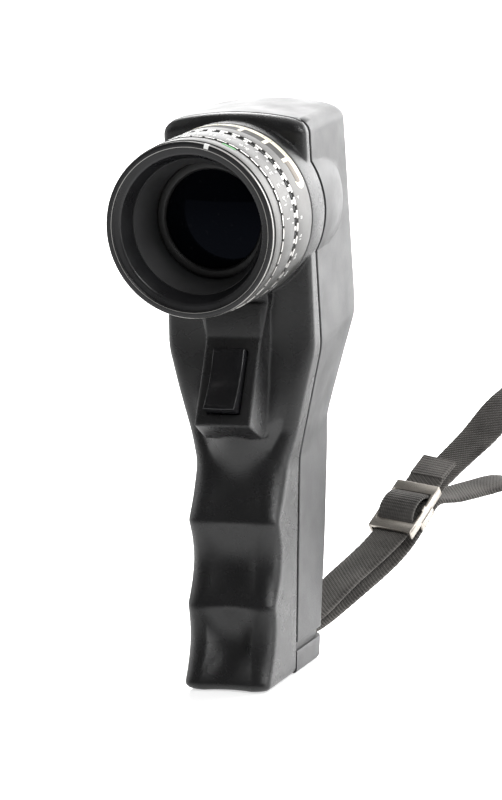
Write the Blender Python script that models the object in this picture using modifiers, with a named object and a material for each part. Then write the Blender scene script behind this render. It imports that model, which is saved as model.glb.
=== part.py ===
"""Hand-held spot light meter: a pistol grip with a lens, setting rings, trigger, eyepiece and wrist strap.

Frame: +Z up, the lens looks along -Y, the origin is the middle of the base. Sizes are in millimetres
and MM turns them into Blender's metres.
"""

import math

import bmesh
import bpy
from mathutils import Matrix, Vector

MM = 0.001

# Body: outline of the two moulded shells
HEIGHT = 141.7
HEAD_HALF_WIDTH = 19.5
HEAD_TOP_HALF_WIDTH = 18.9
GRIP_HALF_WIDTH = 12.3
BASE_HALF_WIDTH = 11.3
HEAD_BOTTOM = 83.0
GRIP_TOP = 54.3
DOME_DROP = 2.35
TOP_RADIUS = 3.0
WALL = 1.8
SEAM_GAP = 0.5
SEAM_HEAD_Y = 5.9
SEAM_BASE_Y = -0.8
BASE_REAR_Y = 19.4
CUT = 1.0

# Front of the grip: (z, y at the sides, y on the centre plane) of each crest between two fingers
CRESTS = ((62.5, 0.2, -9.0), (41.0, -9.9, -11.8), (20.5, -14.1, -16.0), (1.9, -19.4, -20.6))
SCOOPS = ((2.3, 4.3), (4.0, 4.0), (2.8, 3.9))
BASE_RADIUS = 1.9

# Lens axis and the turned parts on it
AXIS_Z = 118.0
RING_RADIUS = 22.2
COLLAR_FRONT_Y = -3.6
RIM_FRONT_Y = -30.3
RIM_RADIUS = 21.8
THREAD_RADIUS = 20.25
BARREL_RADIUS = 19.0
CLEAR = 0.3
FINDER_Z = AXIS_Z

# Trigger: the bump's sloping face runs from its top edge to its bottom edge
FACE_TOP = (-4.1, 86.4)
FACE_BOTTOM = (-15.1, 66.3)
BUMP_HALF_WIDTH = 7.3
TRIGGER_HALF_WIDTH = 4.1
TRIGGER_LENGTH = 16.4

# Battery and strap
BATTERY_Y = 8.4
BATTERY_RADIUS = 6.5
BATTERY_LENGTH = 25.2
FOOT_HEIGHT = 5.6
STRAP_WIDTH = 10.0
STRAP_THICKNESS = 1.2

for old in list(bpy.data.objects):
    bpy.data.objects.remove(old)

PARTS = bpy.data.collections.new("spot_meter")
CUTTERS = bpy.data.collections.new("cutters")
for collection in (PARTS, CUTTERS):
    bpy.context.scene.collection.children.link(collection)


def material(name, colour, roughness, metallic=0.0):
    """A Principled material."""
    made = bpy.data.materials.new(name)
    made.use_nodes = True
    shader = made.node_tree.nodes["Principled BSDF"]
    shader.inputs["Base Color"].default_value = (*colour, 1.0)
    shader.inputs["Roughness"].default_value = roughness
    shader.inputs["Metallic"].default_value = metallic
    return made


BLACK_PLASTIC = ((0.020, 0.020, 0.021), 0.42)
GRAINED_PLASTIC = ((0.035, 0.035, 0.036), 0.60)
GLOSS_PLASTIC = ((0.010, 0.010, 0.010), 0.12)
BLACK_METAL = ((0.018, 0.018, 0.019), 0.38, 0.6)
SATIN_METAL = ((0.45, 0.45, 0.44), 0.35, 1.0)
BRIGHT_STEEL = ((0.60, 0.59, 0.57), 0.25, 1.0)
BRASS = ((0.70, 0.50, 0.22), 0.30, 1.0)
GLASS = ((0.05, 0.06, 0.09), 0.05)
CREAM = ((0.85, 0.80, 0.64), 0.45)
BOARD_GREEN = ((0.03, 0.16, 0.06), 0.45)
RUBBER = ((0.020, 0.020, 0.020), 0.80)
WEBBING = ((0.055, 0.050, 0.045), 0.90)
BATTERY_SLEEVE = ((0.10, 0.14, 0.30), 0.40)
RED_LENS = ((0.40, 0.02, 0.02), 0.20)


def place(name, mesh, look, collection=None):
    """Link a mesh as an object, with its own material unless it is a cutter."""
    thing = bpy.data.objects.new(name, mesh)
    (collection or PARTS).objects.link(thing)
    if collection is CUTTERS:
        thing.hide_render = True
        thing.display_type = "WIRE"
    else:
        mesh.materials.append(material(name, *look))
    return thing


def from_bmesh(name, bm, look, collection=None):
    """Turn a bmesh in millimetres into an object in metres."""
    bmesh.ops.scale(bm, vec=(MM, MM, MM), verts=bm.verts)
    bmesh.ops.recalc_face_normals(bm, faces=bm.faces)
    mesh = bpy.data.meshes.new(name)
    bm.to_mesh(mesh)
    bm.free()
    return place(name, mesh, look, collection)


def modify(thing, kind, **settings):
    """Add a modifier with these settings."""
    made = thing.modifiers.new(kind.title(), kind)
    for key, value in settings.items():
        setattr(made, key, value)
    return made


def combine(thing, other, operation):
    """Boolean with another object, which stays hidden among the cutters."""
    modify(thing, "BOOLEAN", operation=operation, object=other, solver="EXACT")


def box(name, low, high, look=None, collection=None, bevel=0.0):
    """A box between two corners."""
    bm = bmesh.new()
    bmesh.ops.create_cube(bm, size=1.0)
    size = [b - a for a, b in zip(low, high)]
    middle = [(a + b) / 2 for a, b in zip(low, high)]
    bmesh.ops.scale(bm, vec=size, verts=bm.verts)
    bmesh.ops.translate(bm, vec=middle, verts=bm.verts)
    thing = from_bmesh(name, bm, look, collection)
    if bevel:
        modify(thing, "BEVEL", width=bevel * MM, segments=2)
    return thing


def signed_area(points):
    """Twice the area inside a closed outline, positive when it runs anticlockwise."""
    following = points[1:] + points[:1]
    return sum(a[0] * b[1] - b[0] * a[1] for a, b in zip(points, following))


def turned(name, profile, look=None, collection=None, centre=(0.0, 0.0, AXIS_Z), along="Y", steps=36):
    """Turn a profile of (radius, distance along the axis) about an axis through centre."""
    points = list(profile)
    on_axis = points[0][0] == 0 and points[-1][0] == 0
    if signed_area(points) > 0:
        points.reverse()
    mesh = bpy.data.meshes.new(name)
    count = len(points)
    edges = [(i, (i + 1) % count) for i in range(count - on_axis)]
    mesh.from_pydata([(r * MM, 0.0, h * MM) for r, h in points], edges, [])
    thing = place(name, mesh, look, collection)
    modify(
        thing, "SCREW", steps=steps, render_steps=steps, use_merge_vertices=True, merge_threshold=0.00005,
        use_smooth_shade=True,
    )
    thing.location = Vector(centre) * MM
    if along == "Y":
        thing.rotation_euler = (-math.pi / 2, 0.0, 0.0)
    return thing


def tube_profile(outer, inner, start, end):
    """A plain tube's profile."""
    return [(outer, end), (outer, start), (inner, start), (inner, end)]


# ---------------------------------------------------------------- body shells


def between(stops, z):
    """Straight interpolation through (z, value) stops given from the top down."""
    if z >= stops[0][0]:
        return stops[0][1]
    for (za, a), (zb, b) in zip(stops, stops[1:]):
        if z >= zb:
            return b + (a - b) * (z - zb) / (za - zb)
    return stops[-1][1]


def half_width(z):
    """Half of the body's width at the seam."""
    return between(
        ((138.0, HEAD_TOP_HALF_WIDTH), (HEAD_BOTTOM, HEAD_HALF_WIDTH), (GRIP_TOP, GRIP_HALF_WIDTH),
         (0.0, BASE_HALF_WIDTH)), z
    )


def seam(z):
    """Y of the seam between the front and rear shells."""
    return between(((GRIP_TOP, SEAM_HEAD_Y), (0.0, SEAM_BASE_Y)), z)


def front(z):
    """Y of the front surface: where the side ends, and on the centre plane."""
    top = CRESTS[0][0]
    if z >= top:
        side = between(((HEIGHT, 3.8), (84.0, 1.4), (72.0, 0.3), (top, CRESTS[0][1])), z)
        middle = between(((HEIGHT, 1.2), (84.0, -0.8), (74.0, -2.8), (top, CRESTS[0][2])), z)
        return side, middle
    for (za, sa, ca), (zb, sb, cb), (side_scoop, middle_scoop) in zip(CRESTS, CRESTS[1:], SCOOPS):
        if z >= zb:
            t = (za - z) / (za - zb)
            scoop = math.sin(math.pi * t) ** 0.9 if 0 < t < 1 else 0.0
            return sa + (sb - sa) * t + side_scoop * scoop, ca + (cb - ca) * t + middle_scoop * scoop
    return CRESTS[-1][1:]


def rear(z):
    """Y of the rear surface."""
    return between(((HEIGHT, 34.4), (87.0, 35.2), (62.3, 31.5), (49.6, 30.2), (0.0, BASE_REAR_Y)), z)


def lean(z):
    """How much a rear section rises for each millimetre behind the seam."""
    return between(((112.0, 0.0), (HEAD_BOTTOM, 0.147), (GRIP_TOP, 0.31), (30.0, 0.0)), z)


def dome(x, z):
    """How far the domed top has dropped at x, fading out below the top."""
    fade = min(max((z - 112.0) / (HEIGHT - 112.0), 0.0), 1.0)
    return DOME_DROP * (x / HEAD_TOP_HALF_WIDTH) ** 2 * fade


CORNER_STEPS = 3
FACE_STEPS = 2


def outline(z, shrink, behind):
    """Half a section: (x, y) from +X to -X round the front, or round the rear when behind is true."""
    half = half_width(z) - shrink
    if behind:
        end_y = rear(z) - shrink
        corner = (3.6, 4.2)
        side_y = end_y - corner[1]
        face_y = end_y
        middle_y = end_y
    else:
        side_y, middle_y = front(z)
        side_y += shrink
        middle_y += shrink
        corner = (3.2, 1.6) if z > HEAD_BOTTOM else (3.6, 2.2)
        face_y = side_y - corner[1]
    points = []
    for k in range(CORNER_STEPS + 1):
        turn = math.pi / 2 * k / CORNER_STEPS
        points.append(
            (half - corner[0] * (1 - math.cos(turn)), side_y + (face_y - side_y) * math.sin(turn))
        )
    flat = half - corner[0]
    for k in range(1, FACE_STEPS + 1):
        x = flat * (1 - k / FACE_STEPS)
        points.append((x, middle_y + (face_y - middle_y) * (x / flat) ** 2))
    return points + [(-x, y) for x, y in reversed(points[:-1])]


def section(z, shrink, behind, seam_offset):
    """An open row of points from the seam round the outline and back to the seam."""
    curve = outline(z, shrink, behind)
    at_seam = seam(z) + seam_offset
    row = [(curve[0][0], at_seam)] + curve + [(curve[-1][0], at_seam)]
    rise = lean(z) if behind else 0.0
    return [(x, y, z - dome(x, z) + rise * max(y - SEAM_HEAD_Y, 0.0)) for x, y in row]


def to_seam(row, seam_offset):
    """The same row laid on the seam, which closes an end in strips."""
    return [(x, seam(z) + seam_offset, z) for x, _, z in row]


def levels(bottom, base_radius):
    """Heights of the sections with the amount each is drawn in, from the bottom up."""
    made = []
    for k in range(3 if base_radius else 0):
        turn = math.pi / 2 * k / 3
        made.append((bottom + base_radius * (1 - math.cos(turn)), base_radius * (1 - math.sin(turn))))
    heights = {bottom + base_radius, GRIP_TOP, 68.0, 74.0, HEAD_BOTTOM, 87.0, 100.0, 112.0, 121.0, 130.0}
    for (za, *_), (zb, *_) in zip(CRESTS, CRESTS[1:]):
        heights |= {za + (zb - za) * t for t in (0.0, 0.07, 0.22, 0.5, 0.78, 0.93)}
    made += [(z, 0.0) for z in sorted(heights) if bottom + base_radius <= z < HEIGHT - TOP_RADIUS]
    for k in range(4):
        turn = math.pi / 2 * k / 3
        made.append((HEIGHT - TOP_RADIUS * (1 - math.sin(turn)), TOP_RADIUS * (1 - math.cos(turn))))
    return made


def skin(bm, rows):
    """Faces between neighbouring rows of points."""
    grid = [[bm.verts.new(p) for p in row] for row in rows]
    for low, high in zip(grid, grid[1:]):
        for i in range(len(low) - 1):
            bm.faces.new((low[i], low[i + 1], high[i + 1], high[i]))
    bmesh.ops.remove_doubles(bm, verts=bm.verts, dist=0.002)


def body_skin(behind, bottom):
    """A bmesh of one half of the body's surface, open at the seam."""
    offset = SEAM_GAP / 2 if behind else -SEAM_GAP / 2
    rows = [section(z, s, behind, offset) for z, s in levels(bottom, 0.0 if behind else BASE_RADIUS)]
    bm = bmesh.new()
    skin(bm, [to_seam(rows[0], offset)] + rows + [to_seam(rows[-1], offset)])
    return bm


def front_solid():
    """The front half of the body as a solid: its skin closed by two flat faces along the seam."""
    bm = body_skin(False, 0.0)
    rim = [v for e in bm.edges if e.is_boundary for v in e.verts]
    bend = {v for v in rim if abs(v.co.z - GRIP_TOP) < 0.01}
    edges = [e for e in bm.edges if e.is_boundary] + [bm.edges.new(tuple(bend))]
    bmesh.ops.edgenet_fill(bm, edges=edges)
    bmesh.ops.triangulate(bm, faces=bm.faces)
    return from_bmesh("front_shell", bm, BLACK_PLASTIC)


# Front wall of the front shell's hollow, as (z, y) from the top down, and the hollow's inset at the sides
HOLLOW_FRONT = ((138.0, 3.4), (84.0, 3.4), (66.0, 1.8), (48.0, 0.0), (33.0, -7.0), (13.0, -12.2), (1.9, -16.0))
HOLLOW_SIDE = 2.6


def front_hollow():
    """The space inside the front shell, as a solid to cut."""
    bm = bmesh.new()
    rows = []
    for z, y in HOLLOW_FRONT:
        half = half_width(z) - (HOLLOW_SIDE if z > HEAD_BOTTOM else WALL)
        corners = ((half, seam(z) + CUT), (half, y), (-half, y), (-half, seam(z) + CUT))
        rows.append([bm.verts.new((x, at_y, z)) for x, at_y in corners])
    for high, low in zip(rows, rows[1:]):
        for i in range(4):
            j = (i + 1) % 4
            bm.faces.new((high[i], high[j], low[j], low[i]))
    bm.faces.new(rows[0])
    bm.faces.new(rows[-1])
    bmesh.ops.triangulate(bm, faces=bm.faces)
    return from_bmesh("front_hollow", bm, None, CUTTERS)


# ------------------------------------------------------------- trigger frame

FACE_TILT = math.atan2(FACE_BOTTOM[0] - FACE_TOP[0], FACE_TOP[1] - FACE_BOTTOM[1])
FACE_MIDDLE = ((FACE_TOP[0] + FACE_BOTTOM[0]) / 2, (FACE_TOP[1] + FACE_BOTTOM[1]) / 2)


def on_face(thing):
    """Stand a piece on the trigger face: local -Y looks out of it and local +Z runs up it."""
    thing.location = (0.0, FACE_MIDDLE[0] * MM, FACE_MIDDLE[1] * MM)
    thing.rotation_euler = (FACE_TILT, 0.0, 0.0)
    return thing


def prism(name, side_points, look=None, collection=None, bevel=0.0):
    """A closed prism across X from (y, z, half width) points round its side view."""
    bm = bmesh.new()
    left = [bm.verts.new((-half, y, z)) for y, z, half in side_points]
    right = [bm.verts.new((half, y, z)) for y, z, half in side_points]
    bm.faces.new(left)
    bm.faces.new(list(reversed(right)))
    count = len(left)
    for i in range(count):
        j = (i + 1) % count
        bm.faces.new((left[j], left[i], right[i], right[j]))
    bmesh.ops.triangulate(bm, faces=[f for f in bm.faces if len(f.verts) == 4])
    thing = from_bmesh(name, bm, look, collection)
    if bevel:
        modify(thing, "BEVEL", width=bevel * MM, segments=2, limit_method="ANGLE")
    return thing


def build_front_shell():
    """The front shell, with the lens collar and the trigger bump."""
    shell = front_solid()
    collar = turned(
        "collar",
        tube_profile(RING_RADIUS, BARREL_RADIUS - CUT, COLLAR_FRONT_Y, SEAM_HEAD_Y - SEAM_GAP / 2 - 0.05),
        collection=CUTTERS, steps=48,
    )
    under = CRESTS[0][0] - CUT
    top = AXIS_Z - RING_RADIUS
    bump = prism(
        "trigger_bump",
        [(FACE_TOP[0], top - 0.4, BUMP_HALF_WIDTH), (*FACE_TOP, BUMP_HALF_WIDTH),
         (*FACE_BOTTOM, BUMP_HALF_WIDTH), (-7.4, under, 7.6), (2.0, under, 9.8), (2.6, top + 3.0, 9.8),
         (COLLAR_FRONT_Y + 0.2, top + 3.0, 9.0), (COLLAR_FRONT_Y + 0.2, top - 0.4, 9.0)],
        collection=CUTTERS,
    )
    bore = turned(
        "barrel_bore", [(0.0, -6.0), (BARREL_RADIUS + CLEAR, -6.0), (BARREL_RADIUS + CLEAR, 8.0), (0.0, 8.0)],
        collection=CUTTERS,
    )
    slot = box(
        "trigger_slot", (-TRIGGER_HALF_WIDTH - CLEAR, -5.0, -TRIGGER_LENGTH / 2 - CLEAR),
        (TRIGGER_HALF_WIDTH + CLEAR, 14.0, TRIGGER_LENGTH / 2 + CLEAR), collection=CUTTERS,
    )
    on_face(slot)
    combine(shell, bump, "UNION")
    combine(shell, slot, "DIFFERENCE")
    combine(shell, front_hollow(), "DIFFERENCE")
    combine(shell, collar, "UNION")
    combine(shell, bore, "DIFFERENCE")
    return shell


REAR_BOTTOM = 7.8
BULGE_END_Y = 20.0
BULGE_END_RADIUS = 18.2
BULGE_INNER_RADIUS = 16.0
EYEPIECE_RADIUS = 9.0
REAR_SCREWS = ((-13.5, 131.0), (13.5, 131.0), (-13.5, 96.0), (13.5, 96.0))
SCREW_HEAD = (2.2, 1.2)
SCREW_SHAFT = (1.1, 7.0)
SCREW_FACE_Y = 34.2


def build_rear_shell():
    """The rear shell, with the bulge behind the lens collar and holes for the eyepiece and battery."""
    shell = from_bmesh("rear_shell", body_skin(True, REAR_BOTTOM), GRAINED_PLASTIC)
    modify(shell, "SOLIDIFY", thickness=WALL * MM, offset=-1.0, use_even_offset=True)
    start = SEAM_HEAD_Y + SEAM_GAP / 2 + 0.05
    bulge_rise = [
        (BULGE_END_RADIUS + (RING_RADIUS - BULGE_END_RADIUS) * math.cos(math.pi / 2 * t) ** 0.7,
         start + (BULGE_END_Y - start) * t)
        for t in (0.0, 0.2, 0.4, 0.6, 0.8, 1.0)
    ]
    bulge = turned(
        "bulge", bulge_rise + [(BULGE_INNER_RADIUS, BULGE_END_Y), (BULGE_INNER_RADIUS, start)],
        collection=CUTTERS,
    )
    eyepiece_hole = turned(
        "eyepiece_hole",
        [(0.0, 30.0), (EYEPIECE_RADIUS + CLEAR, 30.0), (EYEPIECE_RADIUS + CLEAR, 38.0), (0.0, 38.0)],
        collection=CUTTERS, steps=20,
    )
    battery_hole = turned(
        "battery_hole", [(0.0, 5.0), (7.9, 5.0), (7.9, 12.0), (0.0, 12.0)],
        collection=CUTTERS, centre=(0.0, BATTERY_Y, 0.0), along="Z", steps=20,
    )
    lug_recess = box("lug_recess", (-3.9, 15.6, 7.0), (9.4, 24.0, 8.8), collection=CUTTERS)
    combine(shell, bulge, "UNION")
    for cutter in (eyepiece_hole, battery_hole, lug_recess):
        combine(shell, cutter, "DIFFERENCE")
    for index, (x, z) in enumerate(REAR_SCREWS):
        recess = turned(
            f"screw_recess_{index}",
            [(0.0, 28.0), (SCREW_SHAFT[0] + CLEAR, 28.0),
             (SCREW_SHAFT[0] + CLEAR, SCREW_FACE_Y - SCREW_HEAD[1] - CLEAR),
             (SCREW_HEAD[0] + CLEAR, SCREW_FACE_Y - SCREW_HEAD[1] - CLEAR),
             (SCREW_HEAD[0] + CLEAR, 38.0), (0.0, 38.0)],
            collection=CUTTERS, centre=(x, 0.0, z), steps=12,
        )
        combine(shell, recess, "DIFFERENCE")
    return shell


def build_screw(name, centre, face_y, along="Y"):
    """A countersunk screw whose head's face lies at face_y."""
    head, thick = SCREW_HEAD
    shaft, length = SCREW_SHAFT
    screw = turned(
        name,
        [(0.0, face_y), (head, face_y), (head, face_y - thick), (shaft, face_y - thick),
         (shaft, face_y - length), (0.0, face_y - length)],
        BRIGHT_STEEL, centre=centre, along=along, steps=12,
    )
    return screw


# ------------------------------------------------------------------ foot

CAP_RADIUS = 7.9
CAP_THICKNESS = 2.4
CAP_RAISED = 0.4
NECK_INSET = 0.9
NECK_TOP = 7.4
PIN_YZ = (17.2, 6.4)
PIN_RADIUS = 0.5
BATTERY_BORE = 6.9


def build_foot():
    """The moulded foot behind the seam, with the battery cap's bore and the strap pocket."""
    rounded = 0.9
    lifts = [(rounded * (1 - math.cos(a)), rounded * (1 - math.sin(a))) for a in (0.0, math.pi / 4)]
    stops = lifts + [(rounded, 0.0), (FOOT_HEIGHT, 0.0), (FOOT_HEIGHT, NECK_INSET), (NECK_TOP, NECK_INSET)]
    bm = bmesh.new()
    rows = [section(z, shrink, True, SEAM_GAP / 2) for z, shrink in stops]
    skin(bm, [to_seam(rows[0], SEAM_GAP / 2)] + rows + [to_seam(rows[-1], SEAM_GAP / 2)])
    bmesh.ops.holes_fill(bm, edges=[e for e in bm.edges if e.is_boundary])
    foot = from_bmesh("base_foot", bm, GRAINED_PLASTIC)
    bore = turned(
        "cap_bore",
        [(0.0, -CUT), (CAP_RADIUS + CLEAR, -CUT), (CAP_RADIUS + CLEAR, CAP_THICKNESS + CAP_RAISED + CLEAR),
         (BATTERY_BORE, CAP_THICKNESS + CAP_RAISED + CLEAR), (BATTERY_BORE, NECK_TOP + CUT),
         (0.0, NECK_TOP + CUT)],
        collection=CUTTERS, centre=(0.0, BATTERY_Y, 0.0), along="Z", steps=28,
    )
    pocket = box("strap_pocket", (-3.6, 15.6, 3.9), (9.1, 22.0, NECK_TOP + CUT), collection=CUTTERS)
    combine(foot, bore, "DIFFERENCE")
    combine(foot, pocket, "DIFFERENCE")
    return foot


def build_battery_group():
    """The coin-slot cap, the battery, its sleeve and its contacts."""
    low = CAP_RAISED
    cap = turned(
        "battery_cap", [(0.0, low), (CAP_RADIUS, low), (CAP_RADIUS, low + CAP_THICKNESS),
                        (0.0, low + CAP_THICKNESS)],
        BLACK_METAL, centre=(0.0, BATTERY_Y, 0.0), along="Z", steps=28,
    )
    slot = box("coin_slot", (-6.5, -0.8, low - CUT), (6.5, 0.8, low + 1.0), collection=CUTTERS)
    slot.location = (0.0, BATTERY_Y * MM, 0.0)
    combine(cap, slot, "DIFFERENCE")
    floor_z = low + CAP_THICKNESS + CLEAR
    turned(
        "battery_contact", [(0.0, floor_z), (4.5, floor_z), (4.5, floor_z + 0.5), (0.0, floor_z + 0.5)],
        BRASS, centre=(0.0, BATTERY_Y, 0.0), along="Z", steps=20,
    )
    start = floor_z + 0.5 + CLEAR
    end = start + BATTERY_LENGTH
    turned(
        "battery",
        [(0.0, start), (BATTERY_RADIUS, start), (BATTERY_RADIUS, end - 0.6), (3.0, end - 0.6), (3.0, end),
         (0.0, end)],
        BATTERY_SLEEVE, centre=(0.0, BATTERY_Y, 0.0), along="Z", steps=20,
    )
    turned(
        "battery_sleeve", tube_profile(7.6, BATTERY_RADIUS + CLEAR, NECK_TOP + CLEAR, end + 6.0),
        BLACK_PLASTIC, centre=(0.0, BATTERY_Y, 0.0), along="Z", steps=20,
    )
    coil = coil_spring("battery_spring", 2.6, 0.3, end + CLEAR + 0.3, end + 5.4, 4)
    coil.location = (0.0, BATTERY_Y * MM, 0.0)
    box("battery_plate", (-6.0, BATTERY_Y - 6.0, end + 6.3), (6.0, BATTERY_Y + 6.0, end + 7.0), BRASS)


def coil_spring(name, radius, wire, start, end, turns):
    """A coil of round wire standing along local Z."""
    curve = bpy.data.curves.new(name, "CURVE")
    curve.dimensions = "3D"
    curve.bevel_depth = wire * MM
    curve.bevel_resolution = 0
    curve.use_fill_caps = True
    spline = curve.splines.new("POLY")
    count = turns * 10
    spline.points.add(count)
    for k in range(count + 1):
        turn = 2 * math.pi * turns * k / count
        height = start + (end - start) * k / count
        spline.points[k].co = (radius * math.cos(turn) * MM, radius * math.sin(turn) * MM, height * MM, 1.0)
    spring = bpy.data.objects.new(name, curve)
    PARTS.objects.link(spring)
    curve.materials.append(material(name, *BRIGHT_STEEL))
    return spring


# ---------------------------------------------------------------- trigger

TRAVEL = 2.0


def build_trigger():
    """The button, its return spring and the switch behind it."""
    half = TRIGGER_LENGTH / 2
    hollowed = [(-2.3 - 1.7 * t + 0.9 * math.sin(math.pi * t), half - TRIGGER_LENGTH * t)
                for t in (0.0, 0.12, 0.3, 0.5, 0.7, 0.88, 1.0)]
    outline_points = [(y, z, TRIGGER_HALF_WIDTH) for y, z in hollowed]
    outline_points += [(2.6, -half, TRIGGER_HALF_WIDTH), (2.6, half, TRIGGER_HALF_WIDTH)]
    on_face(prism("trigger_button", outline_points, GLOSS_PLASTIC, bevel=0.5))
    spring = coil_spring("trigger_spring", 1.8, 0.28, 0.0, 4.5, 3)
    on_face(spring)
    spring.rotation_euler = (FACE_TILT - math.pi / 2, 0.0, 0.0)
    spring.location = face_point(2.6 + 2 * CLEAR, 4.6)
    plunger = turned(
        "switch_plunger", [(0.0, 0.0), (1.0, 0.0), (1.0, 2.7), (0.0, 2.7)], BRASS, centre=(0, 0, 0),
        steps=12,
    )
    plunger.rotation_euler = (FACE_TILT - math.pi / 2, 0.0, 0.0)
    plunger.location = face_point(4.9, -3.4)
    body = box("switch_body", (-4.1, 8.0, -7.0), (4.1, 12.5, 7.2), BLACK_PLASTIC)
    on_face(body)
    return spring


def face_point(depth, up):
    """World metres of a point depth behind the trigger face and up along it."""
    cos, sin = math.cos(FACE_TILT), math.sin(FACE_TILT)
    y = FACE_MIDDLE[0] + depth * cos - up * sin
    z = FACE_MIDDLE[1] + depth * sin + up * cos
    return Vector((0.0, y * MM, z * MM))


# ------------------------------------------------------- lens and setting rings

RING_INNER = BARREL_RADIUS + CLEAR
FILM_RING = (-28.8, -24.7)
APERTURE_RING = (-24.3, -15.1)
SHUTTER_RING = (-14.7, -4.1)
BAND_Y = (-6.6, -4.7)
BAND_DEPTH = 0.6
BAND_FROM = math.radians(20.0)
BAND_SWEEP = math.radians(100.0)


def build_rings():
    """The filter ring and the three setting rings that turn about the lens axis."""
    front_y = RIM_FRONT_Y
    turned(
        "filter_ring",
        [(RIM_RADIUS, front_y + 0.3), (RIM_RADIUS, front_y + 1.2), (20.9, front_y + 1.2), (20.9, -24.9),
         (16.9, -24.9), (18.4, front_y + 1.0), (THREAD_RADIUS, front_y + 1.0), (THREAD_RADIUS, front_y),
         (RIM_RADIUS - 0.3, front_y)],
        BLACK_METAL, steps=48,
    )
    turned("film_speed_ring", tube_profile(22.0, 21.2, *FILM_RING), SATIN_METAL, steps=48)
    turned("aperture_ring", tube_profile(RING_RADIUS, RING_INNER, *APERTURE_RING), SATIN_METAL, steps=48)
    shutter = turned("shutter_ring", tube_profile(RING_RADIUS, RING_INNER, *SHUTTER_RING), SATIN_METAL, steps=48)
    band = arc_band("scale_band", RING_RADIUS - BAND_DEPTH, RING_RADIUS - 0.05, *BAND_Y, BAND_FROM, BAND_SWEEP)
    place_band(band, CREAM)
    groove = arc_band(
        "band_groove", RING_RADIUS - BAND_DEPTH - CLEAR, RING_RADIUS + CUT, BAND_Y[0] - CLEAR,
        BAND_Y[1] + CLEAR, BAND_FROM - 0.02, BAND_SWEEP + 0.04,
    )
    combine(shutter, place_band(groove), "DIFFERENCE")


def arc_band(name, inner, outer, start, end, first, sweep):
    """A strip of tube round part of the lens axis, in millimetres."""
    bm = bmesh.new()
    count = 20
    rows = []
    for k in range(count + 1):
        turn = first + sweep * k / count
        cos, sin = math.cos(turn), math.sin(turn)
        corners = ((outer, start), (outer, end), (inner, end), (inner, start))
        rows.append([bm.verts.new((r * cos, y, AXIS_Z + r * sin)) for r, y in corners])
    for a, b in zip(rows, rows[1:]):
        for i in range(4):
            j = (i + 1) % 4
            bm.faces.new((a[i], a[j], b[j], b[i]))
    bm.faces.new(rows[0])
    bm.faces.new(list(reversed(rows[-1])))
    return name, bm


def place_band(named, look=None):
    """Make the strip an object: a part with a look, a cutter without one."""
    name, bm = named
    return from_bmesh(name, bm, look, None if look else CUTTERS)


def build_lens():
    """The barrel and the glass in it."""
    rear_tube = 13.5
    step_y = SEAM_HEAD_Y - 1.4
    turned(
        "lens_barrel",
        [(BARREL_RADIUS, -24.6), (BARREL_RADIUS, step_y), (rear_tube, step_y), (rear_tube, 16.0),
         (12.2, 16.0), (12.2, -7.5), (13.3, -7.5), (13.3, -13.0), (14.8, -13.0), (14.9, -20.0),
         (16.8, -24.6)],
        BLACK_METAL, steps=48,
    )
    turned("lens_retainer", tube_profile(14.5, 12.4, -14.5, -13.3), BLACK_METAL, steps=48)
    turned("front_lens", lens_profile(13.0, -14.3, -8.0, 1.4, 0.9), GLASS, steps=28)
    turned("field_lens", lens_profile(8.0, 17.0, 19.6, 0.6, 0.6), GLASS, steps=20)
    turned("field_stop", tube_profile(11.8, 4.0, 12.0, 13.0), BLACK_METAL, steps=20)


def lens_profile(radius, start, end, front_sag, rear_sag):
    """A lens's profile, with both faces bulging outwards by their sags."""
    share = (0.0, 0.5, 1.0)
    face = [(radius * s, start + front_sag * s * s) for s in share]
    back = [(radius * s, end - rear_sag * s * s) for s in reversed(share)]
    return face + back


# ------------------------------------------------------------ finder and meter

def build_finder():
    """Beam splitter, reticle, eyepiece and the meter's electronics."""
    box("beam_splitter", (-6.0, 20.4, FINDER_Z - 6.0), (6.0, 29.4, FINDER_Z + 6.0), GLASS)
    turned("reticle_glass", [(0.0, 29.8), (5.0, 29.8), (5.0, 30.6), (0.0, 30.6)], GLASS, steps=20)
    photocell = [(0.0, 0.0), (4.1, 0.0), (4.1, 4.5), (0.0, 4.5)]
    turned("photocell", photocell, BRIGHT_STEEL, centre=(0.0, 25.0, FINDER_Z - 11.0), along="Z", steps=20)
    box("led_display", (-5.0, 21.5, FINDER_Z + 6.4), (5.0, 27.5, FINDER_Z + 9.4), RED_LENS)
    box("circuit_board", (-9.0, 8.0, 54.0), (-7.6, 23.0, 95.0), BOARD_GREEN)
    box("meter_chip", (-7.2, 12.0, 76.0), (-4.2, 19.0, 93.0), BLACK_PLASTIC, bevel=0.3)
    box("display_chip", (-7.2, 12.0, 56.0), (-4.2, 19.0, 72.0), BLACK_PLASTIC, bevel=0.3)
    turned(
        "eyepiece_tube",
        [(EYEPIECE_RADIUS, 31.2), (EYEPIECE_RADIUS, 44.0), (6.4, 44.0), (6.4, 31.2)],
        BLACK_METAL, steps=28,
    )
    turned("eyepiece_lens", lens_profile(6.1, 37.5, 41.0, 0.8, 0.8), GLASS, steps=20)
    turned(
        "diopter_ring", [(10.9, 36.4), (10.9, 46.4), (7.0, 46.4), (7.0, 44.4), (9.3, 44.4), (9.3, 36.4)],
        BLACK_METAL, steps=48,
    )
    turned(
        "eyecup",
        [(10.3, 46.8), (10.6, 50.4), (10.0, 51.5), (8.6, 51.2), (7.6, 49.0), (7.4, 46.8)],
        RUBBER, steps=48,
    )


# ------------------------------------------------------------------- strap

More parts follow.
